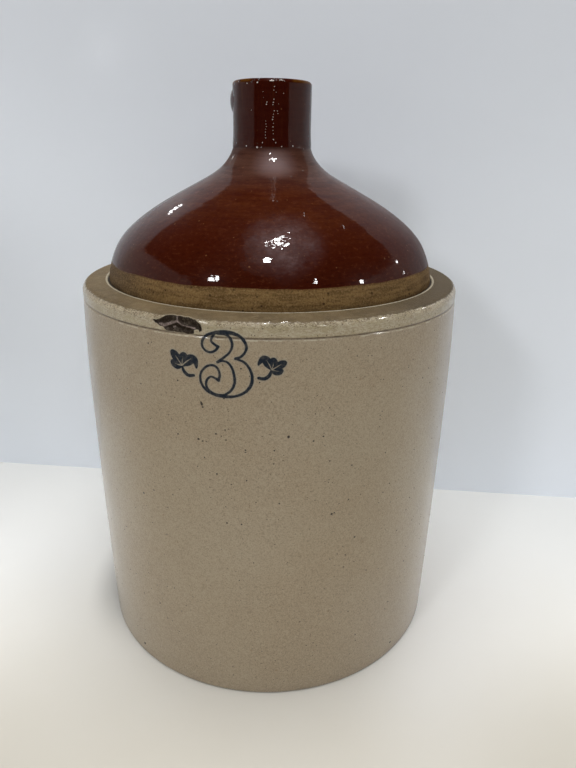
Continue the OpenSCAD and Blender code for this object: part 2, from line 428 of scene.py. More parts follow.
def made_plain(name: str, start: bpy.types.Mesh, tree: bpy.types.NodeTree, values: dict) -> bpy.types.Object:
    """Runs a geometry tree on a starting mesh and keeps its result as a plain mesh.

    Args:
        name: the finished object's name.
        start: the mesh that the tree reads.
        tree: the geometry tree.
        values: the tree's inputs by name.

    Returns:
        The finished object, with no modifier.
    """
    seed = placed(name + "_start", start)
    modifier = seed.modifiers.new("shape", "NODES")
    modifier.node_group = tree
    set_inputs(modifier, values)
    evaluated = seed.evaluated_get(bpy.context.evaluated_depsgraph_get())
    mesh = bpy.data.meshes.new_from_object(evaluated)
    mesh.name = name
    seed.modifiers.remove(modifier)
    bpy.data.objects.remove(seed)
    return placed(name, mesh)


def outline_mesh(name: str, outline: list[Point]) -> bpy.types.Mesh:
    """Returns a mesh whose points are an outline, with the radius as X and the height as Z."""
    mesh = bpy.data.meshes.new(name)
    mesh.from_pydata([(r, 0.0, z) for r, z in outline], [(i, i + 1) for i in range(len(outline) - 1)], [])
    return mesh


class ShapeTrees:
    """Geometry node trees for what is turned, swept or scattered, each built once."""

    def __init__(self) -> None:
        """Builds the trees."""
        self.turning = self._turning()
        self.strap = self._strap()
        self.scatter = self._scatter()

    @staticmethod
    def _new_tree(name: str, inputs: dict[str, object]) -> tuple:
        """Makes a geometry tree that changes a mesh and gives it a finish."""
        inputs = {"Geometry": "Geometry", **inputs, "Finish": "Material"}
        return new_group(name, "GeometryNodeTree", inputs, ("Geometry", "Geometry"))

    @staticmethod
    def _place(g: Graph) -> Socket:
        """Returns the place of the point that the tree works on."""
        return g.add("GeometryNodeInputPosition").outputs[0]

    @staticmethod
    def _stored(g: Graph, label: str, kind: str) -> Socket:
        """Returns what the mesh keeps with its points under a name."""
        return g.add("GeometryNodeInputNamedAttribute", {"Name": label}, data_type=kind).outputs["Attribute"]

    def _grid(self, g: Graph, columns: object, rows: object) -> tuple[Socket, Socket, Socket]:
        """Adds a unit grid and returns its mesh, the column's share and the row's number."""
        sizes = {"Size X": 1.0, "Size Y": 1.0, "Vertices X": columns, "Vertices Y": rows}
        x, y, _ = g.parts(self._place(g))
        row = g.math("ROUND", g.times(g.math("ADD", y, 0.5), g.math("SUBTRACT", rows, 1.0)))
        return g.add("GeometryNodeMeshGrid", sizes).outputs["Mesh"], g.math("ADD", x, 0.5), row

    @staticmethod
    def _read(g: Graph, kind: str, source: object, value: object, index: object) -> Socket:
        """Returns a value of the outline's point with the given number."""
        node = g.add("GeometryNodeSampleIndex", {"Geometry": source, "Index": index}, data_type=kind, domain="POINT")
        g.put(next(s for s in node.inputs if s.name == "Value" and s.enabled), value)
        return next(s for s in node.outputs if s.enabled)

    @staticmethod
    def _finished(g: Graph, shape: object, finish: object, result: object) -> None:
        """Turns instances into faces, shades the shape smooth, gives it its finish and ends the tree."""
        for kind in ("GeometryNodeRealizeInstances", "GeometryNodeSetShadeSmooth"):
            shape = g.add(kind, {"Geometry": shape}).outputs[0]
        g.put(result, g.add("GeometryNodeSetMaterial", {"Geometry": shape, "Material": finish}).outputs[0])

    def _close(self, g: Graph, mesh: object, place: object, finish: object, result: object) -> None:
        """Moves the grid's points to their places, joins the seams and ends the tree."""
        shape = g.add("GeometryNodeSetPosition", {"Geometry": mesh, "Position": place}).outputs[0]
        seams = {"Geometry": shape, "Distance": SEAM_REACH}
        self._finished(g, g.add("GeometryNodeMergeByDistance", seams).outputs[0], finish, result)

    def _turning(self) -> bpy.types.NodeTree:
        """Builds the tree that turns a closed outline about the axis, with a slight unevenness."""
        inputs = {"Columns": 180, "Rows": 50, "Offset": "Vector", "Lean": 0.0, "Lean From": 0.27, "Lean To": 0.335}
        inputs |= {"Wobble": 0.0, "Wobble Scale": 12.0, "Seed": 1.0}
        tree, g, given, result = self._new_tree("turning", inputs)
        mesh, column, row = self._grid(g, given["Columns"], given["Rows"])
        radius, _, height = g.parts(self._read(g, "FLOAT_VECTOR", given["Geometry"], self._place(g), row))
        turn = g.times(column, math.tau)
        cosine, sine = g.math("COSINE", turn), g.math("SINE", turn)

        def turned(r: object) -> Socket:
            """Returns the place at radius r in the column's direction."""
            return g.joined(g.times(r, cosine), g.times(r, sine), height)

        pattern = {"Vector": turned(radius), "W": given["Seed"], "Scale": given["Wobble Scale"], "Detail": 2.0}
        pattern = g.add("ShaderNodeTexNoise", pattern, noise_dimensions="4D").outputs["Fac"]
        uneven = g.swing(pattern, given["Wobble"])
        lean = g.times(given["Lean"], g.step(height, given["Lean From"], given["Lean To"]))
        place = g.vector("ADD", turned(g.math("ADD", radius, uneven)), g.joined(lean))
        self._close(g, mesh, g.vector("ADD", place, given["Offset"]), given["Finish"], result)
        return tree

    def _strap(self) -> bpy.types.NodeTree:
        """Builds the tree that sweeps the strap's section along its route, from sizes kept on the route's points."""
        inputs = {"Stations": 60, "Points": 49, "Squareness": 0.78, "Groove": 1.4 * MM, "Groove Width": 5.2 * MM}
        tree, g, given, result = self._new_tree("strap", inputs)
        mesh, column, row = self._grid(g, given["Points"], given["Stations"])

        def named(label: str, kind: str) -> Socket:
            """Reads one of the route's stored sizes at this row."""
            return self._read(g, kind, given["Geometry"], self._stored(g, label, kind), row)

        centre = self._read(g, "FLOAT_VECTOR", given["Geometry"], self._place(g), row)
        back = named("back", "FLOAT_VECTOR")
        half_w, half_t, open_share = (named(n, "FLOAT") for n in ("half_width", "half_depth", "open_share"))
        turn = g.times(column, math.tau)

        def squared(value: object) -> Socket:
            """Raises a sine or cosine to the section's power and keeps its sign."""
            return g.times(g.math("SIGN", value), g.math("POWER", g.math("ABSOLUTE", value), given["Squareness"]))

        across = g.times(half_w, squared(g.math("COSINE", turn)))
        out = g.times(half_t, squared(g.math("SINE", turn)))
        share = g.math("DIVIDE", across, given["Groove Width"])
        hollow = g.math("EXPONENT", g.times(share, share, -1.0))
        dip = g.times(given["Groove"], open_share, hollow)
        out = g.math("SUBTRACT", out, g.times(dip, g.step(out, 0.0, 2 * MM)))
        outward = g.vector("SCALE", back, scale=out)
        place = g.vector("ADD", g.vector("ADD", centre, g.joined(across)), outward)
        self._close(g, mesh, place, given["Finish"], result)
        return tree

    def _scatter(self) -> bpy.types.NodeTree:
        """Builds the tree that lays flat round beads on given points, turned to the surface under them."""
        inputs = {"Flatness": 0.3, "Sides": 8, "Rings": 4, "Seed": 3}
        tree, g, given, result = self._new_tree("scatter", inputs)
        size = self._stored(g, "bead", "FLOAT")
        turned = {"Vector": self._stored(g, "way", "FLOAT_VECTOR")}
        ball = {"Segments": given["Sides"], "Rings": given["Rings"], "Radius": 1.0}
        spread = g.add("FunctionNodeRandomValue", {"Seed": given["Seed"]}, data_type="FLOAT")
        for socket, value in zip((s for s in spread.inputs if s.enabled and s.name in ("Min", "Max")), BEAD_SPREAD):
            g.put(socket, value)
        long_share = next(s for s in spread.outputs if s.enabled)
        beads = {
            "Points": g.add("GeometryNodeMeshToPoints", {"Mesh": given["Geometry"]}).outputs[0],
            "Instance": g.add("GeometryNodeMeshUVSphere", ball).outputs["Mesh"],
            "Rotation": g.add("FunctionNodeAlignRotationToVector", turned, axis="Z").outputs[0],
            "Scale": g.joined(g.times(size, long_share), size, g.times(size, given["Flatness"])),
        }
        laid = g.add("GeometryNodeInstanceOnPoints", beads).outputs[0]
        self._finished(g, laid, given["Finish"], result)
        return tree


# Finishes.


def new_material(name: str) -> tuple[bpy.types.Material, Graph, bpy.types.Node, Socket]:
    """Returns a new material, its Graph, its Principled shader and the place on the piece."""
    material = bpy.data.materials.new(name)
    material.use_nodes = True
    graph = Graph(material.node_tree)
    where = graph.add("ShaderNodeTexCoord").outputs["Object"]
    return material, graph, material.node_tree.nodes["Principled BSDF"], where


def raised(g: Graph, *layers: tuple[object, float, float]) -> Socket:
    """Returns the normal of a surface with heights laid on it in turn, each with its strength and distance."""
    normal = None
    for height, strength, distance in layers:
        inputs = {"Strength": strength, "Distance": distance, "Height": height, "Normal": normal}
        normal = g.add("ShaderNodeBump", inputs).outputs["Normal"]
    return normal


def painted(g: Graph, tree: bpy.types.NodeTree, where: Socket, **inputs: object) -> Socket:
    """Places a shared effect in a material and returns its output."""
    node = g.add("ShaderNodeGroup", {"Vector": where}, node_tree=tree)
    g.fill(node, {name.replace("_", " ").title(): value for name, value in inputs.items()})
    return node.outputs[0]


@dataclass(frozen=True)
class Stroke:
    """One straight line in the glaze: where it starts and ends, in degrees round the axis and metres up."""

    start: Point
    end: Point
    width: float = 0.5 * MM
    radius: float = 130.5 * MM

    def place(self, end: bool) -> Place:
        """Returns the start or the end as a point on the wall."""
        turn, z = self.end if end else self.start
        return (self.radius * math.cos(math.radians(turn)), self.radius * math.sin(math.radians(turn)), z)

    def mask(self, g: Graph, effects: SurfaceEffects, where: Socket) -> Socket:
        """Returns where the line covers the glaze."""
        return painted(g, effects.line, where, start=self.place(False), end=self.place(True), width=self.width)


# Fine cracks low on the crock: chains of places that follow each other.
HAIRLINES = tuple(
    Stroke(start, end)
    for chain in (
        ((-124.3, 0.0190), (-115.5, 0.0170), (-108.4, 0.0112), (-93.2, 0.0029)),
        ((-76.3, 0.0207), (-68.3, 0.0174), (-54.1, 0.0112), (-48.0, 0.0060)),
        ((-68.6, 0.0167), (-68.3, 0.0042)),
    )
    for start, end in zip(chain, chain[1:])
)
RUB = Stroke((-102.7, 0.1866), (-106.8, 0.1470))


@dataclass(frozen=True)
class CreamGlaze:
    """The crock's finish: cream glaze, a speckled band, a wiped tan ledge, the chip and the painted mark."""

    effects: SurfaceEffects
    sizes: JugSizes
    wall: Colour = (0.345, 0.280, 0.195)
    wall_warm: Colour = (0.315, 0.240, 0.155)
    wall_low: Colour = (0.27, 0.20, 0.128)
    wall_pale: Colour = (0.42, 0.355, 0.25)
    wall_dark: Colour = (0.235, 0.185, 0.12)
    band: Colour = (0.35, 0.285, 0.185)
    band_pale: Colour = (0.475, 0.415, 0.30)
    band_olive: Colour = (0.33, 0.28, 0.16)
    crust: Colour = (0.115, 0.075, 0.035)
    ledge: Colour = (0.145, 0.102, 0.050)
    ledge_dark: Colour = (0.095, 0.066, 0.032)
    ledge_pale: Colour = (0.21, 0.16, 0.09)
    # Painted shade: the ledge darkens towards its right side.
    ledge_right_shade: Colour = (0.066, 0.048, 0.027)
    # Painted highlight: a pale line along the ledge's rounded inner edge.
    edge: Colour = (0.42, 0.37, 0.27)
    # Painted shade in the rebate, where the skirt sits.
    rebate: Colour = (0.03, 0.022, 0.014)
    # Painted highlight along the groove's lower lip, and painted shade in the groove, whose dark also colours the
    # rubbed line.
    groove_highlight: Colour = (0.50, 0.44, 0.33)
    groove_shade_and_rub: Colour = (0.10, 0.075, 0.05)
    rust: Colour = (0.20, 0.115, 0.045)
    iron: Colour = (0.045, 0.028, 0.015)
    hairline: Colour = (0.11, 0.08, 0.05)
    # Painted shade in patches round the foot.
    foot_shade: Colour = (0.2, 0.15, 0.1)
    # Painted contact shadow: a dark line along the bottom of the foot.
    foot_contact_shadow: Colour = (0.05, 0.038, 0.025)
    halo: Colour = (0.26, 0.27, 0.25)
    cobalt: Colour = (0.0005, 0.0070, 0.0180)
    broken: Colour = (0.016, 0.0085, 0.003)
    broken_grey: Colour = (0.080, 0.062, 0.044)
    broken_pale: Colour = (0.27, 0.21, 0.185)
    coat: float = 0.65

    def material(self) -> bpy.types.Material:
        """Builds the material.

        Returns:
            The cream glaze with all its zones.
        """
        made, g, shader, where = new_material("cream_glaze")
        e, s = self.effects, self.sizes
        x, y, z = g.parts(where)
        radius = g.math("SQRT", g.math("ADD", g.times(x, x), g.times(y, y)))
        fine = g.noise(where, 1300.0, 3.0, 0.75)
        middle = g.noise(where, 620.0, 3.0, 0.7)
        grain = g.noise(where, 260.0, 3.0, 0.6)
        wave = g.swing(g.noise(where, 45.0, 2.0), 2.4 * MM)

        # The wall, with the band above the groove and its crust.
        base = g.layered(
            self.wall,
            (self.wall_warm, g.step(g.noise(where, 9.0, 3.0, 0.6), 0.35, 0.7)),
            (self.wall_low, g.step(z, 130 * MM, 20 * MM), 0.5),
            (self.wall_pale, g.step(g.noise(where, 34.0, 5.0, 0.7), 0.35, 0.75), 0.22),
            (self.wall_pale, g.step(fine, 0.46, 0.60), 0.6),
            (self.wall_dark, g.step(fine, 0.48, 0.36), 0.75),
            (self.wall_pale, g.step(middle, 0.5, 0.66), 0.30),
            (self.wall_dark, g.step(middle, 0.46, 0.34), 0.42),
        )
        in_band = g.step(g.math("ADD", z, wave), s.groove_z + 0.2 * MM, s.groove_z + 1.6 * MM)
        streaky = g.stretched(where, 2.4)
        olive = g.times(g.step(g.noise(streaky, 120.0, 3.0, 0.6), 0.45, 0.65), 0.5)
        sand = g.step(g.blend(0.5, fine, g.noise(streaky, 430.0, 4.0, 0.7)), 0.42, 0.58)
        base = g.mix(in_band, base, g.mix(olive, g.mix(sand, self.band, self.band_pale), self.band_olive))
        rising = g.step(z, s.groove_z + 3 * MM, s.ledge_z - 1 * MM)
        crumbs = g.math("ADD", g.noise(streaky, 950.0, 4.0, 0.8), g.linear(rising, 0.17, g.swing(grain, 0.3)))
        crust = g.times(g.step(crumbs, 0.61, 0.70), in_band)

        # Specks, rust, hairlines and the rubbed line.
        dots = painted(g, e.specks, where, scale=420.0, share=0.24, size=0.18)
        band_dots = painted(g, e.specks, where, scale=650.0, share=0.42, size=0.36)
        band_dots = g.times(band_dots, in_band, g.step(g.noise(where, 90.0, 2.0), 0.35, 0.6))
        rust = painted(g, e.specks, where, scale=240.0, share=0.10, size=0.22)
        lines = HAIRLINES[0].mask(g, e, where)
        for stroke in HAIRLINES[1:]:
            lines = g.math("MAXIMUM", lines, stroke.mask(g, e, where))
        dotted = g.step(g.noise(where, 500.0, 3.0, 0.7), 0.45, 0.62)

        # The wiped ledge, the painted highlight along its inner edge and the painted shade in the rebate.
        creep = g.math("ADD", g.times(wave, 0.3), g.swing(grain, 1.6 * MM))
        on_top = g.step(g.math("ADD", z, creep), s.ledge_z - 2.1 * MM, s.ledge_z - 1.4 * MM)
        on_top = g.times(on_top, g.math("LESS_THAN", radius, s.shoulder_r))
        tan = g.layered(
            self.ledge,
            (self.ledge_dark, g.step(g.noise(where, 30.0, 4.0, 0.65), 0.35, 0.7)),
            (self.ledge_pale, g.step(grain, 0.45, 0.7), 0.35),
            # Painted shade: the ledge darkens towards its right side.
            (self.ledge_right_shade, g.step(x, 10 * MM, 105 * MM), 0.8),
        )
        edge_highlight_mask = g.step(radius, s.rebate_r + 1.9 * MM, s.rebate_r + 1.1 * MM)
        edge_highlight_mask = g.times(edge_highlight_mask, g.step(z, s.ledge_z - 2 * MM, s.ledge_z - 1 * MM))
        # Painted shade in the rebate between the ledge and the skirt.
        in_rebate = g.math("LESS_THAN", radius, s.rebate_r + 0.25 * MM)
        in_rebate = g.times(in_rebate, g.step(z, s.ledge_z - 0.6 * MM, s.ledge_z - 1.4 * MM))
        # Painted shade in the groove and a painted highlight along its lower lip.
        in_groove = g.line(z, s.groove_z + 0.1 * MM, 0.15 * MM, 0.6 * MM)
        below_groove = g.line(z, s.groove_z - 1.0 * MM, 0.1 * MM, 0.5 * MM)
        # Painted shade in patches round the crock's foot.
        foot_shade_mask = painted(g, e.patchy_shade, where, height=0.0, reach=9 * MM, patch=70.0)

        # The painted mark and the chip.
        mark, chip, crack = (
            g.add("ShaderNodeAttribute", attribute_name=name).outputs["Fac"]
            for name in ("mark_distance", "chip_edge", "chip_crack")
        )
        ragged = g.math("ADD", mark, g.swing(g.noise(where, 900.0, 2.0), 0.35 * MM))
        on_mark = g.step(ragged, 0.33 * MM, -0.10 * MM)
        thin = g.step(g.noise(where, 420.0, 3.0, 0.7), 0.4, 0.75)
        jag = g.swing(g.noise(where, 800.0, 3.0, 0.7), 0.9 * MM)
        on_chip = g.step(g.math("ADD", chip, jag), -0.12 * MM, 0.12 * MM)
        pale_share = g.linear(g.step(g.noise(where, 520.0, 3.0, 0.7), 0.4, 0.6), 0.6, 0.35)
        clay = g.layered(
            self.broken,
            (self.broken_grey, g.step(g.noise(where, 420.0, 4.0, 0.75), 0.46, 0.66), 0.8),
            (self.broken_pale, pale_share, g.step(g.math("ADD", crack, jag), 0.35 * MM, -0.25 * MM)),
        )

        base = g.layered(
            base,
            (self.crust, crust, 0.75),
            (self.rust, rust, 0.35),
            (self.iron, dots, 0.7),
            (self.iron, band_dots, 0.7),
            (self.hairline, lines, fine, 0.9),
            # The rubbed line, in the dark of the groove's painted shade.
            (self.groove_shade_and_rub, RUB.mask(g, e, where), g.linear(dotted, 0.55, 0.15)),
            (tan, on_top),
            # Painted highlight along the ledge's inner edge.
            (self.edge, edge_highlight_mask, g.step(fine, 0.2, 0.6)),
            # Painted shade in the rebate.
            (self.rebate, in_rebate),
            # Painted highlight below the groove, then painted shade in it.
            (self.groove_highlight, below_groove, g.step(grain, 0.42, 0.62)),
            (self.groove_shade_and_rub, in_groove, g.linear(g.step(grain, 0.4, 0.6), 0.4, 0.5)),
            # Painted shade in patches round the foot.
            (self.foot_shade, foot_shade_mask, 0.55),
            # Painted contact shadow along the bottom of the foot.
            (self.foot_contact_shadow, g.step(z, 1.3 * MM, 0.6 * MM), 0.85),
            (self.halo, g.step(ragged, 1.5 * MM, -0.2 * MM), 0.35),
            (self.cobalt, on_mark, g.linear(thin, -0.16, 0.99)),
            (self.wall_pale, g.step(chip, -1.1 * MM, -0.1 * MM), 0.5),
            (clay, on_chip),
        )
        bare = g.math("MAXIMUM", g.math("MAXIMUM", on_top, on_chip), g.times(on_mark, 0.75))
        peel = painted(g, e.peel, where, grain=700.0, ripple=90.0, ripple_share=0.45)
        corner = g.step(z, s.ledge_z - 4.4 * MM, s.ledge_z - 3.2 * MM)
        corner = g.times(corner, g.step(z, s.ledge_z - 1.2 * MM, s.ledge_z - 2 * MM), 0.85)
        pits = g.math("MAXIMUM", dots, g.math("MAXIMUM", band_dots, lines))
        g.fill(
            shader,
            {
                "Base Color": base,
                "Roughness": g.blend(bare, g.linear(fine, 0.2, 0.24), 0.62),
                "IOR": 1.5,
                "Specular IOR Level": 0.2,
                "Coat Weight": g.times(g.math("SUBTRACT", 1.0, bare), self.coat),
                "Coat Roughness": 0.11,
                "Coat IOR": 1.45,
                "Normal": raised(
                    g,
                    (g.blend(corner, peel, 0.5), 0.6, 0.35 * MM),
                    (crust, 0.5, 0.15 * MM),
                    (g.times(pits, -1.0), 0.5, 0.12 * MM),
                    (g.times(g.noise(where, 700.0, 4.0, 0.7), bare), 0.9, 0.5 * MM),
                ),
            },
        )
        return made


@dataclass(frozen=True)
class BrownGlaze:
    """The top's finish: a red-brown slip glaze with a sharp gloss over a hazy one, bare tan clay on the skirt.

    A rubbed place is the middle and the reach of a spot where the gloss is worn off.
    """

    effects: SurfaceEffects
    sizes: JugSizes
    deep: Colour = (0.034, 0.0042, 0.0010)
    warm: Colour = (0.058, 0.0120, 0.0023)
    fleck: Colour = (0.095, 0.026, 0.010)
    pit: Colour = (0.020, 0.002, 0.0006)
    neck: Colour = (0.029, 0.0018, 0.0005)
    amber: Colour = (0.085, 0.030, 0.003)
    # A hazier collar glaze, partly painted glare: a grey veil over the collar.
    collar_haze_and_glare: Colour = (0.12, 0.085, 0.070)
    # Painted sheen: a mauve-grey haze round the dome's main highlight, over its scuffed spot.
    scuff_sheen: Colour = (0.17, 0.115, 0.115)
    # Painted sheen: a grey-pink haze round the collar's highlights.
    cloud: Colour = (0.26, 0.175, 0.17)
    speck: Colour = (0.16, 0.07, 0.03)
    skirt: Colour = (0.200, 0.122, 0.048)
    skirt_dark: Colour = (0.105, 0.060, 0.023)
    skirt_rim: Colour = (0.09, 0.04, 0.012)
    # Painted shade: the skirt darkens towards its left side.
    skirt_left_shade: Colour = (0.07, 0.052, 0.038)
    sand_pale: Colour = (0.27, 0.18, 0.085)
    sand_dark: Colour = (0.06, 0.035, 0.014)
    spot: Colour = (0.03, 0.018, 0.01)
    # Painted shade in patches at the skirt's foot, by the ledge.
    foot_shade: Colour = (0.04, 0.028, 0.016)
    haze_roughness: float = 0.37
    haze_level: float = 0.02
    gloss: float = 0.60
    dull_share: float = 0.65
    dome_dull: float = 0.16
    rubbed_dull: float = 0.85
    # The scuffed spot, which also carries the painted sheen round the main highlight.
    scuff_and_sheen_place: Place = (0.008, -0.093, 0.298)
    scuff_and_sheen_reach: float = 34 * MM
    # Where the collar's painted sheen lies, how far it reaches and how much it covers.
    collar_sheen_place: Place = (0.002, -0.030, 0.337)
    collar_sheen_reach: float = 17 * MM
    collar_sheen_share: float = 0.48
    rubbed_places: tuple[tuple[Place, float], ...] = (
        ((-0.026, -0.010, 0.341), 0.010),
        ((0.0, -0.049, 0.3245), 0.019),
    )

    def clay(self, g: Graph, where: Socket, x: Socket, line_z: Socket) -> Socket:
        """Builds the colour of the bare skirt, with painted shade on its left and at its foot.

        Args:
            g: the material's graph.
            where: the place on the piece.
            x: how far right it is.
            line_z: its height, with the glaze line's waves.

        Returns:
            The clay's colour.
        """
        e, s = self.effects, self.sizes
        sand = g.noise(where, 900.0, 3.0, 0.75)
        return g.layered(
            self.skirt,
            (self.skirt_dark, g.step(g.noise(g.stretched(where, 7.0), 55.0, 5.0, 0.65), 0.36, 0.68)),
            (self.skirt_rim, g.step(line_z, s.bare_z - 1.2 * MM, s.bare_z - 0.2 * MM), 0.6),
            # Painted shade on the skirt's left side.
            (self.skirt_left_shade, g.step(x, -60 * MM, -100 * MM), 0.55),
            (self.sand_pale, g.step(sand, 0.5, 0.66), 0.5),
            (self.sand_dark, g.step(sand, 0.46, 0.36), 0.6),
            (self.spot, painted(g, e.specks, where, scale=380.0, share=0.16, size=0.36), 0.7),
            # Painted shade in patches at the skirt's foot, by the ledge.
            (self.foot_shade, painted(g, e.patchy_shade, where, height=s.ledge_z - 1 * MM, reach=3.4 * MM, patch=110.0), 0.8),
        )

    def material(self) -> bpy.types.Material:
        """Builds the material.

        Returns:
            The brown glaze with its thin lip and bare skirt.
        """
        made, g, shader, where = new_material("brown_glaze")
        e, s = self.effects, self.sizes
        x, _, z = g.parts(where)
        streaks = g.noise(g.stretched(where, 12.0), 34.0, 5.0, 0.65)
        mottle = g.noise(where, 60.0, 3.0, 0.6)
        flecks = g.noise(g.stretched(where, 2.2), 330.0, 4.0, 0.75)
        runs = g.noise(g.stretched(where, 0.10), 420.0, 3.0, 0.6)
        scratches = g.noise(g.stretched(where, 2.0), 240.0, 1.5, 0.5)

        # Zones: the thinner glaze higher up, the neck, the lip, the hazier collar with painted glare under it, the
        # scuffed spot with painted sheen, and the painted sheen round the collar's highlights.
        rising = g.linear(g.noise(where, 11.0, 2.0, 0.5), 24 * MM, z)
        rising = g.step(rising, s.ledge_z + 42 * MM, s.neck_z - 12 * MM)
        on_neck = g.step(z, s.neck_z - 4 * MM, s.neck_z + 1 * MM)
        lip = g.step(z, s.mouth_z - 2.6 * MM, s.mouth_z - 1.2 * MM)
        sides = g.step(g.linear(g.noise(where, 90.0, 2.0), 10 * MM, g.math("ABSOLUTE", x)), 16 * MM, 20 * MM)
        # Hazier glaze on the collar, partly painted glare.
        collar_haze_and_glare = g.step(z, s.neck_z - 28 * MM, s.neck_z - 12 * MM)
        collar_haze_and_glare = g.times(collar_haze_and_glare, g.step(z, s.neck_z + 0.8 * MM, s.neck_z - 1.5 * MM))
        # A scuffed spot with fine scratches, and the painted sheen round the main highlight.
        scuff_and_sheen = g.linear(mottle, 12 * MM, g.vector("DISTANCE", where, self.scuff_and_sheen_place))
        scuff_and_sheen = g.step(scuff_and_sheen, self.scuff_and_sheen_reach, 0.2 * self.scuff_and_sheen_reach)
        sheen_smudge = g.step(g.noise(where, 90.0, 5.0, 0.7), 0.38, 0.66)
        sheen_smudge = g.times(sheen_smudge, g.linear(g.step(scratches, 0.4, 0.62), 0.5, 0.5))
        # Painted sheen round the collar's highlights.
        collar_sheen_mask = g.step(g.vector("DISTANCE", where, self.collar_sheen_place), self.collar_sheen_reach, 1 * MM)
        specks = painted(g, e.specks, where, scale=330.0, share=0.08, size=0.22)
        line_z = g.math("ADD", z, g.swing(g.noise(where, 38.0, 3.0), 2.2 * MM))
        bare = g.step(line_z, s.bare_z + 0.35 * MM, s.bare_z - 0.35 * MM)
        base = g.layered(
            self.deep,
            (self.warm, g.step(streaks, 0.28, 0.66), g.linear(rising, 0.85, 0.15)),
            (self.deep, g.step(mottle, 0.5, 0.8), 0.3),
            (self.fleck, g.step(flecks, 0.54, 0.68), 0.45),
            (self.pit, g.step(flecks, 0.46, 0.34), 0.6),
            (self.neck, on_neck, 0.75),
            (self.amber, lip, sides),
            (self.warm, on_neck, g.step(runs, 0.56, 0.72), 0.5),
            (self.collar_haze_and_glare, collar_haze_and_glare, g.linear(g.step(streaks, 0.3, 0.7), 0.12, 0.16)),
            # Painted sheen round the main highlight, in patches over the scuffed spot.
            (self.scuff_sheen, scuff_and_sheen, g.linear(sheen_smudge, 0.36, 0.10)),
            # Painted sheen round the collar's highlights.
            (self.cloud, collar_sheen_mask, g.blend(on_neck, self.collar_sheen_share, 0.0)),
            (self.speck, specks, 0.6),
            (self.clay(g, where, x, line_z), bare),
        )

        # The gloss is thinner where it is bare, on the lip, in the rubbed places and to the right.
        dull = g.math("MAXIMUM", g.times(bare, 0.92), g.times(lip, 0.5))
        for middle, reach in self.rubbed_places:
            rubbed_off = g.step(g.vector("DISTANCE", where, middle), reach, 0.6 * reach)
            dull = g.math("MAXIMUM", dull, g.times(rubbed_off, self.rubbed_dull))
        worn_side = g.linear(g.step(x, 30 * MM, 105 * MM), -self.dull_share, 1.0)
        worn_dome = g.blend(on_neck, 1.0 - self.dome_dull, 1.0)
        worn = g.step(g.noise(where, 34.0, 5.0, 0.7), 0.4, 0.75)

        # The sharp gloss lies over the crumbs of the bare clay, so its normal leaves them out.
        marks = (
            (g.noise(g.stretched(where, 14.0), 60.0, 1.5, 0.6), 0.32, 0.16 * MM),
            (g.times(runs, on_neck), 0.12, 0.12 * MM),
            (g.times(g.linear(scuff_and_sheen, 0.92, 0.08), scratches), 0.8, 0.32 * MM),
        )
        peel = painted(g, e.peel, where, grain=300.0, ripple=80.0, ripple_share=0.8)
        gloss_peel = g.blend(0.8, g.noise(where, 300.0, 1.0), g.noise(where, 80.0, 2.0))
        crumb = g.times(g.noise(where, 800.0, 4.0, 0.7), bare)
        g.fill(
            shader,
            {
                "Base Color": base,
                "Roughness": g.blend(bare, g.linear(worn, 0.12, self.haze_roughness), 0.6),
                "IOR": 1.5,
                "Specular IOR Level": self.haze_level,
                "Coat Weight": g.times(g.math("SUBTRACT", 1.0, dull), worn_side, worn_dome, self.gloss),
                "Coat Roughness": 0.025,
                "Coat IOR": 1.45,
                "Normal": raised(g, (peel, 0.45, 0.35 * MM), *marks, (crumb, 0.9, 0.4 * MM)),
                "Coat Normal": raised(g, (gloss_peel, 0.45, 0.35 * MM), *marks),
            },
        )
        return made


@dataclass(frozen=True)
class FiredSlip:
    """The joint's finish: rough dark slip with pale grains."""

    effects: SurfaceEffects
    dark: Colour = (0.030, 0.021, 0.013)
    light: Colour = (0.13, 0.095, 0.055)

    def material(self) -> bpy.types.Material:
        """Builds the material."""
        made, g, shader, where = new_material("fired_slip")
        patch = g.noise(where, 120.0, 4.0, 0.7)
        inputs = {
            "Base Color": g.mix(g.step(patch, 0.5, 0.8), self.dark, self.light),
            "Roughness": g.linear(patch, 0.2, 0.65),
            "Normal": raised(g, (g.noise(where, 600.0, 4.0, 0.7), 1.0, 0.5 * MM)),
        }
        g.fill(shader, inputs)
        return made


@dataclass(frozen=True)
class BeadFinish:
    """The finish of small beads on a glaze: iron specks on the crock, drops on the top, or pale beads that are
    painted glints.
    """

    name: str
    colour: Colour
    roughness: float
    coat: float = 0.6

    def material(self) -> bpy.types.Material:
        """Builds the material."""
        made, g, shader, where = new_material(self.name)
        shade = g.noise(where, 900.0, 2.0)
        dark = tuple(0.5 * c for c in self.colour)
        inputs = {
            "Base Color": g.mix(shade, self.colour, dark),
            "Roughness": g.linear(shade, 0.1, self.roughness),
            "Coat Weight": self.coat,
            "Coat Roughness": 0.05,
        }
        g.fill(shader, inputs)
        return made


class StageKind(Enum):
    """The surfaces round the jug."""

    FLOOR = "floor"
    WALL = "wall"
    SIDE = "side"


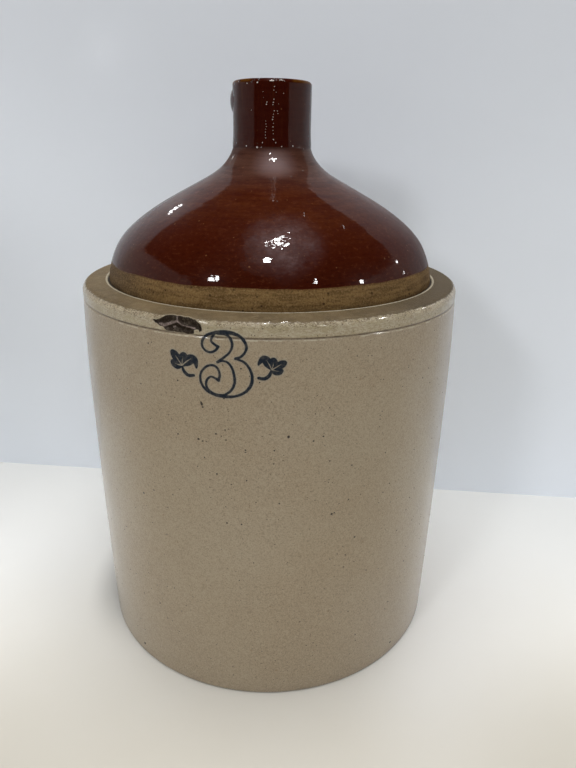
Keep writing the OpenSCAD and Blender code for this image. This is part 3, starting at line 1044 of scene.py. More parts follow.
@dataclass(frozen=True)
class StageFinish:
    """A pale studio surface. A wall is clear from behind, so that it never hides the jug."""

    kind: StageKind
    colour: Colour
    shade: Colour
    fade: Point
    # Painted light: an emission that lights a wall softly, though it is no lamp.
    painted_glow: float = 0.0
    painted_emission_colour: Colour = (0.80, 0.92, 1.0)
    # Painted shadow, painted light and painted shade on the floor round the foot and in its near corners.
    close_shade: Colour = (0.02, 0.02, 0.02)
    painted_light: Colour = (0.96, 0.955, 0.94)
    corner_shade: Colour = (0.10, 0.08, 0.04)

    def floor_tone(self, g: Graph, where: Socket, tone: Socket) -> Socket:
        """Adds painted shade and light to the floor's tone: a painted shadow left of the foot, painted light right of
        it and painted shade in the near corners.
        """
        x, y, _ = g.parts(where)
        away = g.vector("LENGTH", where)
        near_corner = g.step(g.math("ABSOLUTE", x), 0.0, 240 * MM)
        left = (g.step(x, -50 * MM, -110 * MM), g.step(y, -95 * MM, -20 * MM))
        return g.layered(
            tone,
            (self.close_shade, g.step(away, 156 * MM, 124 * MM), *left, 0.45),
            (self.painted_light, g.step(away, 260 * MM, 135 * MM), g.step(x, 40 * MM, 120 * MM), 0.4),
            (self.corner_shade, near_corner, g.step(y, -60 * MM, -200 * MM), 0.24),
        )

    def material(self) -> bpy.types.Material:
        """Builds the material."""
        on_floor = self.kind is StageKind.FLOOR
        made, g, shader, where = new_material("stage_" + self.kind.value)
        cloud = g.linear(g.noise(where, 5.0, 5.0, 0.6), 0.10, -0.05)
        away = g.parts(where)["Y" if on_floor else "Z"]
        # Painted shade: the tone fades from shade to colour, so the walls darken towards the top and the floor's tone
        # is darker towards the front.
        tone = g.mix(g.step(g.math("ADD", away, cloud), *self.fade), self.shade, self.colour)
        inputs = {
            "Base Color": self.floor_tone(g, where, tone) if on_floor else tone,
            "Roughness": 0.6,
            "Specular IOR Level": 0.1,
            "Emission Color": self.painted_emission_colour,
            "Emission Strength": self.painted_glow,
        }
        g.fill(shader, inputs)
        if not on_floor:
            clear = g.add("ShaderNodeBsdfTransparent").outputs[0]
            behind = g.add("ShaderNodeNewGeometry").outputs["Backfacing"]
            both = g.add("ShaderNodeMixShader", {0: behind, 1: shader.outputs[0], 2: clear}).outputs[0]
            g.put(made.node_tree.nodes["Material Output"].inputs["Surface"], both)
        return made


# The painted mark.


@dataclass(frozen=True)
class Brush:
    """A stroke of changing width along a smooth line: each point holds x, y and half the width, in millimetres."""

    points: tuple[Place, ...]
    steps: int = 14

    def sampled(self) -> np.ndarray:
        """Returns the line in short pieces through its points."""
        p = np.array(self.points)
        p = np.vstack([2 * p[0] - p[1], p, 2 * p[-1] - p[-2]])
        found = []
        for a, b, c, d in zip(p[:-3], p[1:-2], p[2:-1], p[3:]):
            for t in np.linspace(0, 1, self.steps, endpoint=False):
                bend, twist = 2 * a - 5 * b + 4 * c - d, 3 * b - a - 3 * c + d
                found.append(0.5 * (2 * b + (c - a) * t + bend * t**2 + twist * t**3))
        found.append(p[-2])
        return np.array(found)

    def distance(self, x: np.ndarray, y: np.ndarray) -> np.ndarray:
        """Returns the distance to the stroke's edge, below zero inside it."""
        line = self.sampled()
        best = np.full(x.shape, 1e3)
        for a, b in zip(line[:-1], line[1:]):
            run = b[:2] - a[:2]
            t = np.clip(((x - a[0]) * run[0] + (y - a[1]) * run[1]) / max(float(run @ run), 1e-9), 0, 1)
            away = np.hypot(x - a[0] - t * run[0], y - a[1] - t * run[1]) - (a[2] + t * (b[2] - a[2]))
            best = np.minimum(best, away)
        return best


def brushes(*lines: tuple[Place, ...]) -> tuple[Brush, ...]:
    """Returns a stroke for each line of points."""
    return tuple(Brush(points) for points in lines)


@dataclass(frozen=True)
class CapacityMark:
    """The capacity mark: an open-faced numeral three between two small leaf sprigs, drawn with brush lines.

    The brush lines are in millimetres from the middle of the numeral or of the leaf. A sprig's row holds its
    direction in degrees, its height in millimetres, its side, its tilt in degrees and its scale.
    """

    numeral_turn: float = -100.4
    numeral_z: float = 238.2 * MM
    sprigs: tuple[tuple[float, float, int, float, float], ...] = (
        (-112.0, 235.0, 1, 0.0, 1.0), (-89.78, 236.1, -1, 22.0, 0.87),
    )
    numeral: tuple[Brush, ...] = brushes(
        (
            (-4.8, 9.8, 0.75), (-6.6, 7.5, 0.6), (-9.4, 6.4, 0.6), (-12.3, 7.4, 0.55), (-13.9, 10.0, 0.6),
            (-13.3, 13.4, 0.65), (-10.6, 16.0, 0.7), (-6.2, 17.5, 0.85), (-1.6, 18.1, 1.05), (3.0, 17.7, 0.95),
            (6.8, 16.2, 0.8), (9.6, 13.2, 0.75), (10.6, 10.0, 0.65), (9.3, 6.8, 0.6), (7.1, 4.7, 0.6),
            (4.6, 3.7, 0.7),
        ),
        ((-4.8, 9.8, 0.75), (-6.8, 10.9, 0.6), (-8.5, 12.4, 0.6), (-8.5, 14.4, 0.6), (-7.0, 16.4, 0.55)),
        (
            (-5.0, 17.2, 0.7), (-0.8, 17.0, 0.8), (1.7, 14.8, 0.7), (2.9, 11.4, 0.65), (1.7, 7.6, 0.55),
            (-1.2, 4.5, 0.55), (-5.3, 1.2, 0.7),
        ),
        (
            (-5.3, 1.2, 0.6), (-2.7, 2.0, 0.5), (0.2, 1.4, 0.55), (2.6, -1.6, 0.6), (3.8, -6.0, 0.65),
            (3.9, -10.4, 0.65), (2.0, -14.6, 0.6), (-1.2, -17.2, 0.6),
        ),
        (
            (4.8, 3.7, 0.6), (9.2, 2.0, 0.6), (12.3, -1.8, 0.65), (13.6, -6.6, 0.75), (12.6, -11.6, 0.8),
            (8.9, -15.7, 0.7), (3.6, -18.0, 0.65), (-1.6, -18.4, 0.85), (-6.6, -17.9, 0.8), (-11.2, -16.1, 0.7),
            (-14.4, -12.8, 0.65), (-15.4, -8.4, 0.6), (-14.4, -4.8, 0.55), (-11.6, -1.8, 0.55), (-8.1, -0.8, 0.6),
            (-5.4, -2.3, 0.55), (-4.2, -5.8, 0.6), (-4.9, -9.3, 0.75),
        ),
        (
            (-4.9, -9.3, 0.75), (-6.9, -8.1, 0.55), (-9.3, -7.5, 0.5), (-11.5, -9.5, 0.6), (-12.1, -12.6, 0.6),
            (-10.4, -15.6, 0.6), (-6.4, -17.6, 0.6), (-1.4, -17.6, 0.6),
        ),
    )
    lobes: tuple[Brush, ...] = brushes(
        ((-0.4, 0.8, 1.2), (-2.4, 3.4, 2.5), (-4.3, 5.8, 2.4), (-5.4, 7.0, 1.7)),
        ((0.2, 1.2, 1.4), (0.6, 3.6, 2.9), (1.2, 5.2, 2.6), (1.4, 6.2, 1.8)),
        ((0.8, 1.0, 1.2), (3.6, 3.2, 2.7), (6.0, 4.7, 2.5), (7.9, 4.3, 1.8), (8.6, 2.2, 1.2), (8.8, 0.2, 0.6)),
        ((-0.6, 0.0, 1.0), (-2.9, -0.1, 2.1), (-4.7, 0.7, 2.0), (-5.8, 1.7, 1.2)),
    )
    veins: tuple[Brush, ...] = brushes(
        ((0.0, 0.2, 0.4), (-2.6, 3.8, 0.34), (-4.4, 6.2, 0.15)),
        ((0.0, 0.2, 0.4), (0.4, 3.4, 0.28), (0.8, 5.6, 0.1)),
        ((0.0, 0.2, 0.4), (3.4, 3.2, 0.34), (5.8, 4.9, 0.15)),
        ((0.0, 0.2, 0.4), (-2.6, 0.5, 0.3), (-4.4, 1.0, 0.15)),
    )
    stem: Brush = Brush(((0.3, -0.7, 0.6), (1.4, -3.2, 0.9), (4.0, -5.0, 0.9), (7.0, -4.6, 0.75)))

    def sprig(self, x: np.ndarray, y: np.ndarray, side: int, tilt: float, scale: float) -> np.ndarray:
        """Measures points against one sprig.

        Args:
            x: how far right of where its veins meet each point is, in millimetres.
            y: how far above it.
            side: one for a stem that curls to the right, minus one for the mirrored sprig.
            tilt: how far the leaf is turned clockwise, in degrees.
            scale: the leaf's size.

        Returns:
            The distance to the sprig's paint in millimetres, below zero inside it.
        """
        c, s = math.cos(math.radians(tilt)) / scale, math.sin(math.radians(tilt)) / scale
        u, v = side * (c * x - s * y), s * x + c * y
        leaf = np.min([lobe.distance(u, v) for lobe in self.lobes], axis=0)
        vein = np.min([line.distance(u, v) for line in self.veins], axis=0)
        return np.minimum(scale * np.maximum(leaf, -vein), self.stem.distance(side * x, y))

    def distance(self, turn: np.ndarray, z: np.ndarray, radius: float) -> np.ndarray:
        """Measures points on the wall against the mark.

        Args:
            turn: the points' directions round the axis, in degrees.
            z: their heights.
            radius: the wall's radius there.

        Returns:
            The distance to the paint in metres, below zero inside it.
        """
        arc_mm = math.radians(1) * radius / MM
        x, y = (turn - self.numeral_turn) * arc_mm, (z - self.numeral_z) / MM
        paint = np.min([line.distance(x, y) for line in self.numeral], axis=0)
        for centre, height, *form in self.sprigs:
            paint = np.minimum(paint, self.sprig((turn - centre) * arc_mm, z / MM - height, *form))
        return paint * MM


@dataclass(frozen=True)
class LedgeChip:
    """The chip broken out of the ledge's corner.

    Its outline, pale cracks and sizes are given in millimetres: along the corner from the chip's middle, and up
    over the profile from the groove.
    """

    turn: float = -113.0
    outline: tuple[Point, ...] = (
        (-16.6, 6.3), (-13.6, 6.1), (-11.6, 6.9), (-8.4, 9.3), (-5.6, 10.4), (-3.2, 10.7), (-1.4, 10.1),
        (1.0, 10.5), (3.4, 9.9), (6.0, 10.2), (8.4, 9.3), (10.6, 8.8), (12.4, 7.4), (13.9, 6.4), (14.7, 4.6),
        (14.7, 2.9), (13.3, 2.2), (12.9, 3.3), (11.6, 3.6), (10.2, 2.9), (10.2, 1.3), (8.4, 0.2), (5.8, 0.1),
        (4.2, 0.7), (0.9, 0.5), (-2.0, 0.9), (-4.6, 0.5), (-6.6, 0.8), (-7.8, 1.6), (-9.1, 2.8), (-11.2, 3.0),
        (-12.7, 4.0), (-14.2, 4.4), (-15.4, 5.3),
    )
    cracks: tuple[Brush, ...] = brushes(
        (
            (-1.0, 10.2, 0.5), (-0.9, 8.6, 0.35), (-0.9, 7.2, 0.5), (-2.8, 5.9, 0.7), (-5.4, 4.8, 0.8),
            (-8.4, 3.7, 0.7), (-11.4, 4.2, 0.5),
        ),
        ((-0.9, 7.2, 0.5), (0.6, 5.9, 0.45), (2.4, 4.9, 0.4), (5.0, 4.4, 0.25), (8.0, 4.0, 0.35), (10.6, 3.7, 0.4)),
        ((-3.2, 3.0, 0.35), (-2.2, 3.3, 0.3)),
    )
    ridges: tuple[Brush, ...] = brushes(
        ((-11.5, 4.0, 0.2), (-5.5, 4.7, 0.3), (-0.9, 6.8, 0.3), (3.0, 4.9, 0.3), (10.4, 3.8, 0.2)),
        ((-0.9, 6.8, 0.2), (-0.9, 10.4, 0.2)),
    )
    deepest: float = 2.1
    rim: float = 2.2
    rim_power: float = 0.55
    middle_y: float = 5.6
    half_y: float = 6.5
    ridge_share: float = 0.45
    ridge_half: float = 0.9

    def measured(self, turn: np.ndarray, run: np.ndarray, radius: float) -> tuple[np.ndarray, np.ndarray, np.ndarray]:
        """Measures points of the crock's outside against the chip.

        Args:
            turn: the points' directions round the axis, in degrees.
            run: their distance over the profile from the groove.
            radius: the wall's radius there.

        Returns:
            In metres: how far inside the outline each point is, how deep the chip is there, and how far a crack is.
        """
        x, y = (turn - self.turn) * math.radians(1) * radius / MM, run / MM
        away = np.full(x.shape, 1e3)
        inside = np.zeros(x.shape, dtype=bool)
        ring = self.outline
        for (ax, ay), (bx, by) in zip(ring, ring[1:] + ring[:1]):
            t = np.clip(((x - ax) * (bx - ax) + (y - ay) * (by - ay)) / ((bx - ax) ** 2 + (by - ay) ** 2), 0, 1)
            away = np.minimum(away, np.hypot(x - ax - t * (bx - ax), y - ay - t * (by - ay)))
            inside ^= ((ay > y) != (by > y)) & (x < (bx - ax) * (y - ay) / (by - ay + 1e-12) + ax)
        edge = np.where(inside, away, -away)
        ridge = np.min([line.distance(x, y) for line in self.ridges], axis=0)
        crack = np.min([line.distance(x, y) for line in self.cracks], axis=0)
        bowl = np.clip(edge / self.rim, 0, 1) ** self.rim_power * self.deepest
        bowl *= np.exp(-(((y - self.middle_y) / self.half_y) ** 2))
        ledges = 0.14 * np.sin(2.1 * x + 1.3 * y) + 0.10 * np.sin(4.3 * x - 2.9 * y + 1.0)
        bowl *= 1 - self.ridge_share * np.exp(-((np.maximum(ridge, 0) / self.ridge_half) ** 2))
        depth = np.where(inside, bowl + ledges * np.clip(edge, 0, 1), 0)
        return edge * MM, np.maximum(depth, 0) * MM, crack * MM


# The pieces.


@dataclass
class CrockBody:
    """The crock: floor, wall and ledge as one thrown shell, with the groove, the chip and the painted mark."""

    sizes: JugSizes
    mark: CapacityMark = field(default_factory=CapacityMark)
    chip: LedgeChip = field(default_factory=LedgeChip)
    wall: float = 10 * MM
    floor: float = 12 * MM
    floor_cove: float = 16 * MM
    foot_bevel: float = 1.5 * MM
    ledge_wall: float = 12.5 * MM
    corner_r: float = 5 * MM
    ledge_fall: float = 0.7 * MM
    edge_r: float = 0.8 * MM
    cap_r: float = 12 * MM
    rebate_depth: float = 6 * MM
    shelf_overhang: float = 2.5 * MM
    cove_r: float = 12 * MM
    groove_half: float = 1.1 * MM
    groove_depth: float = 0.7 * MM
    groove_step: float = 0.3 * MM
    detail_from: float = -121.5
    detail_to: float = -83.5
    detail_low: float = 216 * MM
    fine_step: float = 0.36 * MM
    coarse_step: float = 7 * MM
    plain_columns: int = 120
    wave_slant: float = 18.0
    wave_depth: float = 0.11 * MM
    seed: int = 7

    def columns(self) -> np.ndarray:
        """Returns the columns' directions in degrees, close together where the mark and the chip are."""
        fine = math.degrees(self.fine_step / self.sizes.shoulder_r)
        dense = np.arange(self.detail_from, self.detail_to, fine)
        rest = np.linspace(dense[-1], self.detail_from + FULL_TURN, self.plain_columns)[1:-1]
        return np.concatenate([dense, rest])

    def outline(self) -> tuple[list[Point], int]:
        """Returns the closed outline from the foot to the inner floor, and how many of its points are outside."""
        s = self.sizes
        under = s.ledge_z - self.ledge_wall
        cove_z, floor_z = under - self.cove_r, self.floor + self.floor_cove
        corner = (s.shoulder_r - self.corner_r, s.ledge_z - self.ledge_fall - self.corner_r)
        foot = s.wall_r(self.foot_bevel)
        outside = [(r, 0.0) for r in np.linspace(self.cap_r, foot - self.foot_bevel - 2 * MM, 4)]
        outside += arc((foot - self.foot_bevel, self.foot_bevel), self.foot_bevel, -90, 0, 5)
        groove_from = s.groove_z - 2 * MM
        for low, high, step in (
            (self.foot_bevel + 3 * MM, self.detail_low, self.coarse_step),
            (self.detail_low, groove_from, self.fine_step),
        ):
            outside += [(s.wall_r(z), z) for z in np.arange(low, high, step)]
        for z in np.arange(groove_from, corner[1], self.groove_step):
            dip = max(0.0, 1 - abs(z - s.groove_z) / self.groove_half)
            outside.append((s.wall_r(min(z, s.groove_z)) - self.groove_depth * math.sin(dip * math.pi / 2) ** 2, z))
        outside += arc(corner, self.corner_r, 0, 90, 16)
        edge, rebate_z = (s.rebate_r + self.edge_r, s.ledge_z - self.edge_r), s.ledge_z - self.rebate_depth
        fall = self.ledge_fall / (corner[0] - s.rebate_r)
        outside += [(r, s.ledge_z - fall * (r - s.rebate_r)) for r in np.linspace(corner[0], edge[0], 22)[1:-1]]
        outside += arc(edge, self.edge_r, 90, 180, 5)
        outside += [(s.rebate_r, z) for z in np.linspace(edge[1], rebate_z, 6)[1:]]
        shelf = s.skirt_r - s.dome_wall - self.shelf_overhang
        inside = [(shelf, rebate_z), (shelf, under)]
        inside += arc((s.wall_r(cove_z) - self.wall - self.cove_r, cove_z), self.cove_r, 90, 0, 6)
        inside += [(s.wall_r(z) - self.wall, z) for z in np.linspace(cove_z, floor_z, 12)[1:-1]]
        inside += arc((s.wall_r(floor_z) - self.wall - self.floor_cove, floor_z), self.floor_cove, 0, -90, 6)
        inside += [(r, self.floor) for r in np.linspace(90 * MM, self.cap_r, 3)]
        return outside + inside, len(outside)

    def chipped(self, points: np.ndarray, depth: np.ndarray) -> np.ndarray:
        """Breaks the chip out of the ledge's corner.

        Args:
            points: points of the outside near the chip.
            depth: how deep the chip is at each.

        Returns:
            The points moved inward, towards the middle of the corner's rounding.
        """
        s = self.sizes
        radius = np.hypot(points[:, 0], points[:, 1])
        middle_r, middle_z = s.shoulder_r - self.corner_r, s.ledge_z - self.ledge_fall - self.corner_r
        inward = np.minimum(np.stack([middle_r - radius, middle_z - points[:, 2]], axis=1), 0)
        inward /= np.maximum(np.linalg.norm(inward, axis=1), 1e-9)[:, None]
        moved = points.copy()
        moved[:, :2] *= (1 + inward[:, 0] * depth / radius)[:, None]
        moved[:, 2] += inward[:, 1] * depth
        return moved

    def build(self, glaze: bpy.types.Material, lining: bpy.types.Material) -> bpy.types.Object:
        """Builds and dresses the crock.

        Args:
            glaze: the outside's finish.
            lining: the inside's finish.

        Returns:
            The crock as one closed mesh.
        """
        turns = self.columns()
        outline, outside = self.outline()
        flat = np.array(outline)
        rows, cols = len(flat), len(turns)
        radius, z = np.repeat(flat[:, 0], cols), np.repeat(flat[:, 1], cols)
        degrees = np.tile(turns, rows)
        theta = np.radians(degrees)
        rng = np.random.default_rng(self.seed)
        uneven = np.zeros_like(radius)
        for wave in range(2, 7):
            phase, slant = rng.uniform(0, math.tau), rng.uniform(-self.wave_slant, self.wave_slant)
            uneven += np.sin(wave * theta + slant * z + phase) * self.wave_depth / wave
        is_out = np.repeat(np.arange(rows) < outside, cols)
        radius = radius + np.where(is_out & (z > 3 * MM), uneven, 0)
        points = np.stack([radius * np.cos(theta), radius * np.sin(theta), z], axis=1)
        run = np.concatenate([[0], np.cumsum(np.hypot(*np.diff(flat, axis=0).T))])
        groove = np.argmin(np.abs(flat[:outside, 1] - self.sizes.groove_z) - flat[:outside, 0])
        run = np.repeat(run - run[groove], cols)
        near = is_out & (degrees <= self.detail_to + 0.5) & (z > self.detail_low)
        far = {"mark_distance": 10 * MM, "chip_edge": -10 * MM, "chip_crack": 10 * MM}
        marks = {name: np.full(radius.shape, away) for name, away in far.items()}
        marks["mark_distance"][near] = self.mark.distance(degrees[near], z[near], self.sizes.shoulder_r)
        edge, depth, crack = self.chip.measured(degrees[near], run[near], self.sizes.shoulder_r)
        marks["chip_edge"][near], marks["chip_crack"][near] = edge, crack
        points[near] = self.chipped(points[near], depth)

        i, j = np.meshgrid(np.arange(rows - 1), np.arange(cols), indexing="ij")
        k = (j + 1) % cols
        quads = np.stack([i * cols + j, i * cols + k, (i + 1) * cols + k, (i + 1) * cols + j], axis=-1).reshape(-1, 4)
        low, high, last = rows * cols, rows * cols + 1, (rows - 1) * cols
        caps = [(low, (a + 1) % cols, a) for a in range(cols)]
        caps += [(high, last + a, last + (a + 1) % cols) for a in range(cols)]
        mesh = bpy.data.meshes.new("crock")
        mesh.from_pydata(np.vstack([points, [[0, 0, 0], [0, 0, self.floor]]]).tolist(), [], quads.tolist() + caps)
        for name, values in marks.items():
            store(mesh, name, np.append(values, values[[0, 0]]))
        mesh.materials.append(glaze)
        mesh.materials.append(lining)
        slots = np.zeros(len(mesh.polygons), dtype=np.int32)
        slots[outside * cols : len(quads)] = 1
        slots[len(quads) + cols :] = 1
        mesh.polygons.foreach_set("material_index", slots)
        mesh.polygons.foreach_set("use_smooth", np.ones(len(mesh.polygons), dtype=bool))
        piece = placed("crock_thrown", mesh)
        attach(piece, "root")
        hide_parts("crock_body")
        return piece


@dataclass
class JugTop:
    """The brown top: the dome, the neck and the slip that lutes the dome into the ledge, all turned."""

    sizes: JugSizes
    trees: ShapeTrees
    joint_gap: float = 0.05 * MM
    top_lean: float = 0.4 * MM
    lip_outer_r: float = 2.4 * MM
    lip_inner_r: float = 3 * MM
    slip_sink: float = 0.7 * MM
    slip_hollow: float = 0.4 * MM
    columns: int = 361
    wobble: float = 0.4 * MM
    wobble_scale: float = 11.0
    seed: float = 2.0

    def turned(
        self, name: str, node: str, slot: str, outline: list[Point], finish: bpy.types.Material, wobble: float = 0.0
    ) -> bpy.types.Object:
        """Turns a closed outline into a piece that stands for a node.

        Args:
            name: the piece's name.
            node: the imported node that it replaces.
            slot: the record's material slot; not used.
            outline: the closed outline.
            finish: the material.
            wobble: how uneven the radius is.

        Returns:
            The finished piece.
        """
        values = {"Columns": self.columns, "Rows": len(outline), "Lean": self.top_lean, "Finish": finish}
        values |= {"Wobble": wobble, "Wobble Scale": self.wobble_scale, "Seed": self.seed}
        piece = made_plain(name, outline_mesh(name, outline), self.trees.turning, values)
        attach(piece, "root")
        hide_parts(node)
        return piece

    def build_dome(self, finish: bpy.types.Material) -> bpy.types.Object:
        """Builds the dome with its upright skirt."""
        s = self.sizes
        line, under = DomeOutline(s).line(0.0), DomeOutline(s).line(s.dome_wall)
        skirt_top, inner = s.ledge_z + s.skirt_rise, s.skirt_r - s.dome_wall
        outline = [(inner, s.skirt_foot_z)]
        outline += [(s.skirt_r, z) for z in np.linspace(s.skirt_foot_z, skirt_top, 8)[:-1]]
        outline += [p for p in line if p[1] < s.neck_z - 3 * self.joint_gap]
        outline += [(s.collar_r, s.neck_z - self.joint_gap), (s.collar_r, s.neck_z)]
        outline += [(s.collar_r - self.joint_gap, s.neck_z), (s.collar_r - s.dome_wall, s.neck_z)]
        outline += under[::-1][1:] + [(inner, skirt_top), (inner, s.skirt_foot_z)]
        return self.turned("dome_turned", "dome_top", "brown_glaze", outline, finish, self.wobble)

    def build_neck(self, finish: bpy.types.Material) -> bpy.types.Object:
        """Builds the neck with its bore and rounded lip."""
        s = self.sizes
        body = s.neck_at(s.mouth_z)
        outline = [(s.mouth_r, s.neck_z), (s.collar_r - self.joint_gap, s.neck_z), (s.collar_r, s.neck_z)]
        outer_z, inner_z = s.mouth_z - self.lip_outer_r, s.mouth_z - self.lip_inner_r
        outline += [(s.neck_at(z), z) for z in np.linspace(s.neck_z + self.joint_gap, outer_z, 40)]
        outline += arc((body - self.lip_outer_r, outer_z), self.lip_outer_r, 0, 90, 10)[1:]
        outline += arc((s.mouth_r + self.lip_inner_r, inner_z), self.lip_inner_r, 90, 180, 10)
        outline += [(s.mouth_r, z) for z in np.linspace(inner_z, s.neck_z, 16)[1:]]
        return self.turned("neck_turned", "neck", "brown_glaze", outline, finish, self.wobble)

    def build_slip(self, finish: bpy.types.Material) -> bpy.types.Object:
        """Builds the slip between the skirt and the ledge."""
        s = self.sizes
        top = s.ledge_z - self.slip_sink
        middle = (s.skirt_r + s.rebate_r) / 2
        outline = [(s.skirt_r, s.skirt_foot_z), (s.rebate_r, s.skirt_foot_z), (s.rebate_r, top)]
        outline += [(middle, top - self.slip_hollow), (s.skirt_r, top), (s.skirt_r, s.skirt_foot_z)]
        return self.turned("joint_slip_turned", "joint_slip", "fired_slip", outline, finish)


@dataclass
class StrapHandle:
    """The strap handle behind the neck, with its top root wiped round the neck."""

    sizes: JugSizes
    trees: ShapeTrees
    turn: float = 100.0
    width: float = 26 * MM
    thickness: float = 11.5 * MM
    thumb_groove: float = 1.4 * MM
    groove_share: float = 0.2
    root_flare: float = 10 * MM
    root_swell: float = 7 * MM
    drop: float = 12.5 * MM
    rise: float = 7.0
    upper_pull: float = 62 * MM
    lower_pull: float = 42 * MM
    splay: float = 22.0
    landing_share: float = 0.79
    flare_share: float = 0.3
    sink_share: float = 0.6
    cuff_t: float = 0.8 * MM
    cuff_shift: float = 4.6 * MM
    cuff_half_h: float = 10.3 * MM
    cuff_half_t: float = 6 * MM
    cuff_drop: float = 11.5 * MM
    cuff_sink: float = 5.8 * MM
    cuff_columns: int = 181
    stations: int = 110
    section_points: int = 73

    def route(self) -> np.ndarray:
        """Returns the control points of the strap's route, as distance from the axis and height."""
        s = self.sizes
        lower, _ = DomeOutline(s).curves()
        landing, way = cubic(lower, self.landing_share), cubic_way(lower, self.landing_share)
        normal = np.array([way[1], -way[0]])
        leg = math.atan2(normal[1], normal[0]) - math.radians(self.splay)
        z, rise = s.mouth_z - self.drop, math.radians(self.rise)
        return np.array(
            [
                [s.neck_r - self.sink_share * (s.neck_r - s.mouth_r), z],
                [s.neck_r + self.upper_pull * math.cos(rise), z + self.upper_pull * math.sin(rise)],
                landing + self.lower_pull * np.array([math.cos(leg), math.sin(leg)]),
                landing - self.sink_share * s.dome_wall * normal,
            ]
        )

    def route_mesh(self) -> bpy.types.Mesh:
        """Returns the route as a mesh whose points carry the section's sizes there."""
        route = self.route()
        shares = np.linspace(0, 1, self.stations)
        flare = np.clip(1 - np.minimum(shares, 1 - shares) / self.flare_share, 0, None) ** 2
        places = [cubic(route, t) for t in shares]
        ways = [cubic_way(route, t) for t in shares]
        mesh = bpy.data.meshes.new("strap_route")
        mesh.from_pydata([(0.0, p[0], p[1]) for p in places], [(k, k + 1) for k in range(self.stations - 1)], [])
        values = {
            "half_width": (self.width + self.root_flare * flare) / 2,
            "half_depth": (self.thickness + self.root_swell * flare) / 2,
            "open_share": 1 - flare,
        }
        values["back"] = np.array([(0.0, -w[1], w[0]) for w in ways])
        for name, numbers in values.items():
            store(mesh, name, numbers)
        return mesh

    def build(self, finish: bpy.types.Material) -> list[bpy.types.Object]:
        """Builds the strap and the cuff that is wiped round the neck.

        Args:
            finish: the material.

        Returns:
            The strap and the cuff.
        """
        s = self.sizes
        values = {"Stations": self.stations, "Points": self.section_points, "Groove": self.thumb_groove}
        values |= {"Groove Width": self.groove_share * self.width, "Finish": finish}
        strap = made_plain("handle_strap", self.route_mesh(), self.trees.strap, values)
        z, high = s.mouth_z - self.cuff_drop, self.cuff_half_h / self.cuff_half_t
        outer, inner = s.neck_r + self.cuff_t, s.neck_r - self.cuff_sink
        section = arc((outer - self.cuff_half_t, 0.0), self.cuff_half_t, -90, 90, 30)
        outline = [(max(r, inner), z + high * h) for r, h in section]
        outline = [(inner, outline[0][1])] + outline + [(inner, outline[-1][1]), (inner, outline[0][1])]
        values = {"Columns": self.cuff_columns, "Rows": len(outline), "Finish": finish}
        values["Offset"] = (0.0, self.cuff_shift, 0.0)
        cuff = made_plain("handle_cuff", outline_mesh("handle_cuff", outline), self.trees.turning, values)
        for part in (strap, cuff):
            part.data.transform(Matrix.Rotation(math.radians(self.turn - 90), 4, "Z"))
            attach(part, "root")
            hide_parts("handle")
        return [strap, cuff]


